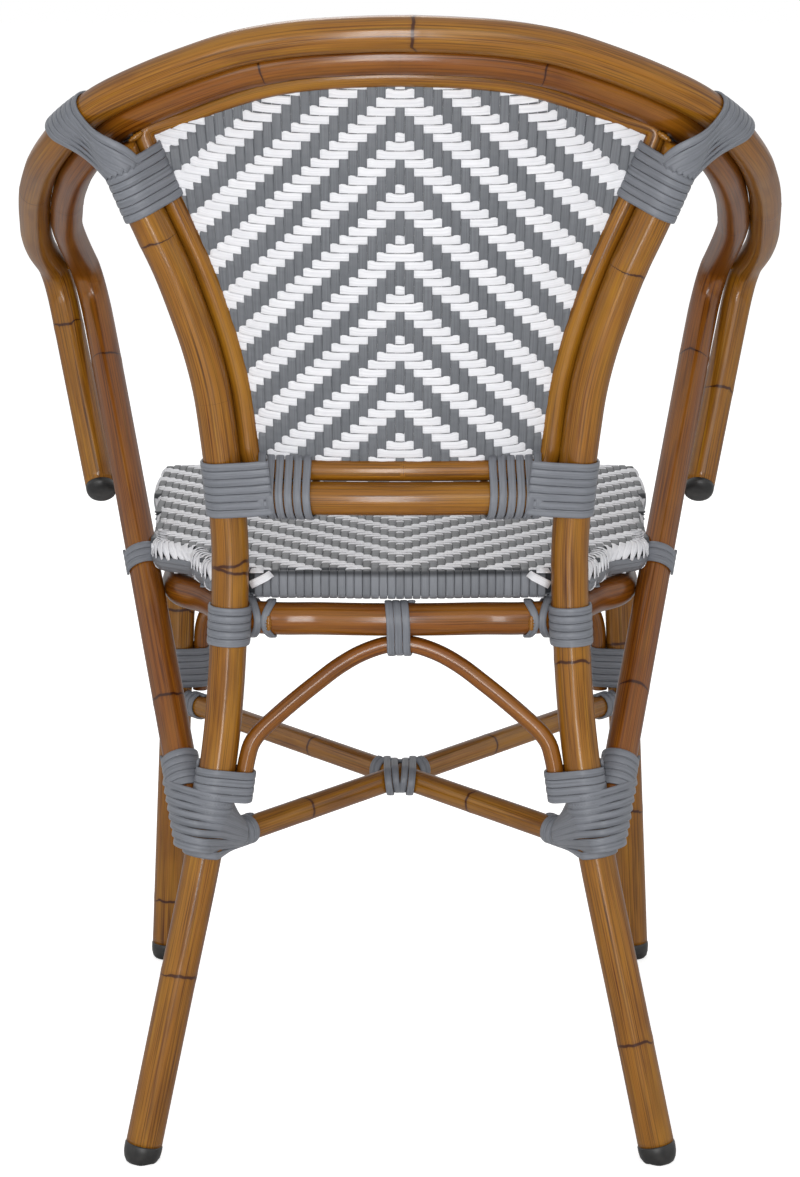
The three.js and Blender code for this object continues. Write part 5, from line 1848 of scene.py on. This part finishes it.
    def over(self, place: Array, across: float, along_x: bool, on_top: Array, ends: tuple,
             section: StrandSection, tone: float) -> list:
        """One strand over the top, round the edges that it meets squarely, and one beneath.

        Args:
            place: the strand's crossings along it, rising.
            across: its own place on the other axis.
            along_x: true where it runs from side to side.
            on_top: whether it is the upper strand at each crossing.
            ends: low and high end of the seat along it.
            section: its section.
            tone: its own tone.

        Returns:
            Both meshes, or none for a strand that is too short.
        """
        axis = OUTWARD if along_x else np.array([0.0, 1.0, 0.0])
        origin = np.array([0.0, across, 0.0]) if along_x else np.array([across, 0.0, 0.0])
        low, high = ends
        inside = (place > low + self.radius) & (place < high - self.radius)
        path = over_and_under(np.column_stack([place, np.zeros(len(place))])[inside], on_top[inside])
        if len(path) < 9:
            return []
        points = origin + axis * path[:, :1]
        points[:, 2] = self.top_height(points[:, 0], points[:, 1]) + path[:, 2] * self.lift / WEAVE.lift
        outward = np.tile(UP, (len(points), 1))
        under = points * [1, 1, 0] + UP * (self.bottom + 1.4 - path[:, 2:] * self.lift / WEAVE.lift)
        for end, sign in ((low, -1), (high, 1)):
            spot = origin + axis * end
            toward = axis * sign
            slope = float(self.facing(spot[0], spot[1]) @ toward)
            if slope < self.square_enough:
                tail = spot - toward * 7.0
                tail[2] = self.top - 3.0
                arc, faces = tail[None, :], UP[None, :]
            else:
                arc, faces = self.wrap(spot, toward, slope)
            if sign < 0:
                points, outward = np.vstack([arc[::-1], points]), np.vstack([faces[::-1], outward])
            else:
                points, outward = np.vstack([points, arc]), np.vstack([outward, faces])
        # Painted shade: the tone is raised where the strand lies on the seat's top, so it shows dark there,
        # over a little random tone.
        shade = tone * 0.25 + np.where(points[:, 2] > self.top - 3.2, 0.75, 0.0)
        return [ribbon(points, outward, section, shade),
                ribbon(under, np.tile(-UP, (len(under), 1)), section, tone * 0.25)]

    def fan(self, low: float, high: float, form: EdgeStrands, rng: np.random.Generator) -> list:
        """Strands round a rear corner's edge, where those of the top meet it askew.

        Args:
            low: y of its front end on the outline.
            high: y of its rear end.
            form: how they lie.
            rng: source of their tones.

        Returns:
            Their meshes.
        """
        p, n = self.whole.points, self.normals
        here = (p[:, 0] > 60) & (p[:, 1] > low) & (p[:, 1] < high) & (n[:, 1] < self.square_enough)
        order = np.nonzero(here)[0][::-1]
        run = Route(p[order]).run
        made = []
        for place in np.arange(0, run[-1], form.pitch):
            toward = unit(sampled(place, run, n[order]))
            points, outward = self.wrap(sampled(place, run, p[order]), toward)
            if form.leaf:
                points, outward = points[:5], outward[:5]
            start = points[0] - toward * form.inset
            start[2] -= form.drop
            points, outward = np.vstack([start, points]), np.vstack([UP, outward])
            share = np.linspace(0, 1, len(points))
            along = np.cross(UP, toward)
            points = points + along * (share[:, None] - 0.5) * form.slant + outward * form.lift
            widths = np.interp(share, [0, 0.3, 0.8, 1], [0.75, 1.0, 0.95, 0.5]) if form.leaf else None
            faces = unit(outward - along * form.tilt) if form.leaf else outward
            made.append(ribbon(points, faces, form.section, rng.random() * 0.25, widths))
        return made

    def side_band(self) -> list:
        """Grey strands that run along the lower half of each side's edge."""
        p, n = self.whole.points, self.normals
        order = np.nonzero((p[:, 0] > 60) & (n[:, 1] < 0.75) & (p[:, 1] > -480))[0][::-1]
        made = []
        for drop, height, tilt in ((0.2, 438.4, 0.05), (0.9, 434.2, -0.25), (3.2, 430.4, -0.8)):
            line = p[order] + n[order] * (1.0 - drop)
            line[:, 2] = height
            made.append(ribbon(line, unit(n[order] + UP * tilt), self.band_section, 0.1))
        return made

    def corner_pieces(self) -> list:
        """The short white strands at the rear edge beside each leg."""
        edge = self.rear_y + 0.9
        slanting = np.array([[113.0, edge - 0.8, 440.0], [108.0, edge + 0.6, 442.8],
                             [101.0, edge + 0.4, 446.4], [97.0, edge - 1.6, 448.8]])
        short = np.array([[113.0, edge - 6.0, 450.0], [108.0, edge - 4.0, 450.6], [103.0, edge - 4.0, 450.6]])
        faces = np.array([[0, 1, 0.1], [0, 1, 0.2], [0, 1, 0.3], [0, 0.7, 0.7]])
        return [ribbon(slanting, faces, self.white_section, 0.1),
                ribbon(short, np.tile([0.0, 0.4, 0.9], (3, 1)), self.white_section, 0.2)]

    def core(self) -> MeshData:
        """The closed body under the strands, dark with painted shade where it shows between them."""
        rings = []
        inset, height, _, _ = self.edge_arc()
        middle = np.array([0.0, (self.rear_y + self.front_y) / 2, 0.0])
        for d, z in zip(inset, height):
            ring = self.whole.points - self.normals * (d + 1.6)
            ring[:, 2] = z + (1.6 if z < (self.top + self.bottom) / 2 else -1.6)
            rings.append(ring)
        cover = middle + (rings[0] - middle) * 0.5
        cover[:, 2] = self.top - 1.4
        floor = middle + (rings[-1] - middle) * 0.5
        floor[:, 2] = self.bottom + 2.4
        rings = np.array([cover, *rings, floor])
        tones = np.full(rings.shape[0] * rings.shape[1], 0.8)
        return MeshData.of_rings(rings, rings, {Attribute.TONE: tones})

    def build(self) -> None:
        """Makes the lengthwise grey and the crossing white strands."""
        rng = np.random.default_rng(9)
        widest = float(self.outline[:, 0].max())
        columns = int((widest - 5) / self.column_pitch)
        first_y = self.rear_y - 11.5
        rows = np.arange(int((first_y - self.front_y - 3) / self.row_pitch) + 1)
        row_y = first_y - rows * self.row_pitch
        greys, whites = [], []
        for c in range(-columns, columns + 1):
            x = c * self.column_pitch
            front, rear = self.span(x)
            if rear - front < 40:
                continue
            on_top = ~white_on_top(np.full(len(rows), c), rows)
            greys += self.over(row_y[::-1], x, False, on_top[::-1], (front, rear), self.section, rng.random())
        cols = np.arange(-columns, columns + 1)
        for r, y in zip(rows, row_y):
            wide = float(self.half_width(np.array(y)))
            on_top = white_on_top(cols, np.full(len(cols), r))
            whites += self.over(cols * self.column_pitch, y, True, on_top, (-wide, wide), self.white_section,
                                rng.random())
        tips = self.fan(-205, self.corner_y, self.leaves, rng) + self.corner_pieces()
        edges = self.fan(self.corner_y, self.rear_y, self.corner, rng) + self.side_band()
        greys += [side.of(strand) for strand in edges for side in Side]
        whites += [side.of(strand) for strand in tips for side in Side]
        self.place(self.core(), "seat_core", self.finishes.shade, "weave", "woven_seat")
        self.place(MeshData.joined(greys), "seat_lengthwise_strands", self.finishes.seat_grey, "weave")
        self.place(MeshData.joined(whites), "seat_crossing_strands", self.finishes.white, "weave")


# Studio.


@dataclass(frozen=True)
class CameraSizes:
    """The photograph's camera, in metres and degrees."""

    focal_px: float = 2800.0
    long_side_px: float = 1177.0
    sensor: float = 36.0
    behind_rear_feet: float = 2.0
    height: float = 0.914
    pitch: float = 13.03


@dataclass(frozen=True)
class Softbox:
    """A soft area light that faces the chair.

    Args:
        name: its name.
        place: where it is, in metres.
        size: its diameter, or its width where it has a length.
        power: in watts.
        length: of an upright strip, or 0 for a disc.
    """

    name: str
    place: tuple
    size: float
    power: float
    length: float = 0.0

    def build(self) -> None:
        """Adds the light."""
        data = bpy.data.lights.new(self.name, "AREA")
        data.shape = "RECTANGLE" if self.length else "DISK"
        data.size = self.size
        if self.length:
            data.size_y = self.length
        data.energy = self.power
        light = linked(self.name, data)
        light.location = self.place
        aim = Vector((0, 0, 0.5)) - Vector(self.place)
        light.rotation_euler = aim.to_track_quat("-Z", "Y").to_euler()


@dataclass(frozen=True)
class Studio:
    """Camera, floor and soft light.

    Args:
        camera: the photograph's camera.
        world_level: strength of the light from all round.
        floor_glow: how far the floor shines for the camera only, so that it shows white.
        floor_reach: metres from the middle to the floor's edge.
        softboxes: the key and fill lights behind the chair, an upright one by the camera that draws the
            highlights along the tubes, and one over the front.
    """

    camera: CameraSizes
    world_level: float = 0.52
    floor_glow: float = 0.62
    floor_reach: float = 30.0
    softboxes: tuple = (
        Softbox("key_softbox", (-0.7, 3.3, 2.1), 1.5, 9.0),
        Softbox("fill_softbox", (1.4, 3.0, 1.1), 1.2, 8.0),
        Softbox("camera_softbox", (0.08, 2.5, 0.82), 0.28, 21.0, length=1.6),
        Softbox("front_softbox", (0.3, -2.4, 2.8), 1.4, 26.0))

    def add_camera(self) -> None:
        """Puts the camera where the photograph was taken."""
        c = self.camera
        data = bpy.data.cameras.new("photo_camera")
        data.sensor_fit = "AUTO"
        data.sensor_width = c.sensor
        data.lens = c.focal_px * c.sensor / c.long_side_px
        cam = linked("photo_camera", data)
        cam.location = (0.0, REAR_FEET_Y * MM + c.behind_rear_feet, c.height)
        pitch = math.radians(c.pitch)
        direction = Vector((0.0, -math.cos(pitch), -math.sin(pitch)))
        cam.rotation_euler = direction.to_track_quat("-Z", "Y").to_euler()
        bpy.context.scene.camera = cam

    def add_floor(self) -> None:
        """Adds the pale floor, which shows white to the camera and keeps the shadow."""
        mesh = bpy.data.meshes.new("studio_floor")
        far = self.floor_reach
        mesh.from_pydata([(-far, -far, 0), (far, -far, 0), (far, far, 0), (-far, far, 0)], [], [(0, 1, 2, 3)])
        floor = linked("studio_floor", mesh)
        s = Shader("pale_studio_floor")
        grain = s.noise(s.add("TexCoord").outputs["Object"])
        s.surface(Base_Color=s.ramp(grain, [(0.3, "#f4f4f4"), (0.7, "#f6f6f6")]), Roughness=0.9,
                  Specular_IOR_Level=0.0)
        seen = s.add("LightPath").outputs["Is Camera Ray"]
        glow = s.add("Emission", Color=(1, 1, 1, 1), Strength=s.math("MULTIPLY", seen, self.floor_glow))
        both = s.add("AddShader", Shader=s.base.outputs["BSDF"])
        s.feed(both.inputs[1], glow.outputs[0])
        s.feed(s.output.inputs["Surface"], both.outputs[0])
        mesh.materials.append(s.material)

    def add_world(self) -> None:
        """Lights the scene evenly from all round."""
        world = bpy.data.worlds.new("studio_world")
        world.use_nodes = True
        s = Nodes(world.node_tree)
        path = s.add("LightPath")
        bright = path.outputs["Is Camera Ray"]
        for other in ("Is Glossy Ray", "Is Transmission Ray"):
            bright = s.math("MAXIMUM", bright, path.outputs[other])
        level = s.add("MapRange", Value=bright, To_Min=self.world_level)
        back = s.add("Background", Color=(1, 1, 1, 1), Strength=level.outputs[0])
        s.add("OutputWorld", Surface=back.outputs[0])
        bpy.context.scene.world = world

    def build(self) -> None:
        """Makes the whole studio."""
        self.add_camera()
        self.add_floor()
        self.add_world()
        for softbox in self.softboxes:
            softbox.build()
        bpy.context.scene.view_settings.view_transform = "Standard"


def main() -> None:
    """Builds the chair and its studio."""
    logging.basicConfig(level=logging.INFO)
    Studio(CameraSizes()).build()
    finishes = Finishes()
    lines = Lines()
    for part in (TubeFrame, Ends, Lashings, BackPanel, SeatPanel):
        part(lines, finishes).build()
    bpy.context.view_layer.update()
    LOG.info("chair built")


if __name__ == "__main__":
    main()
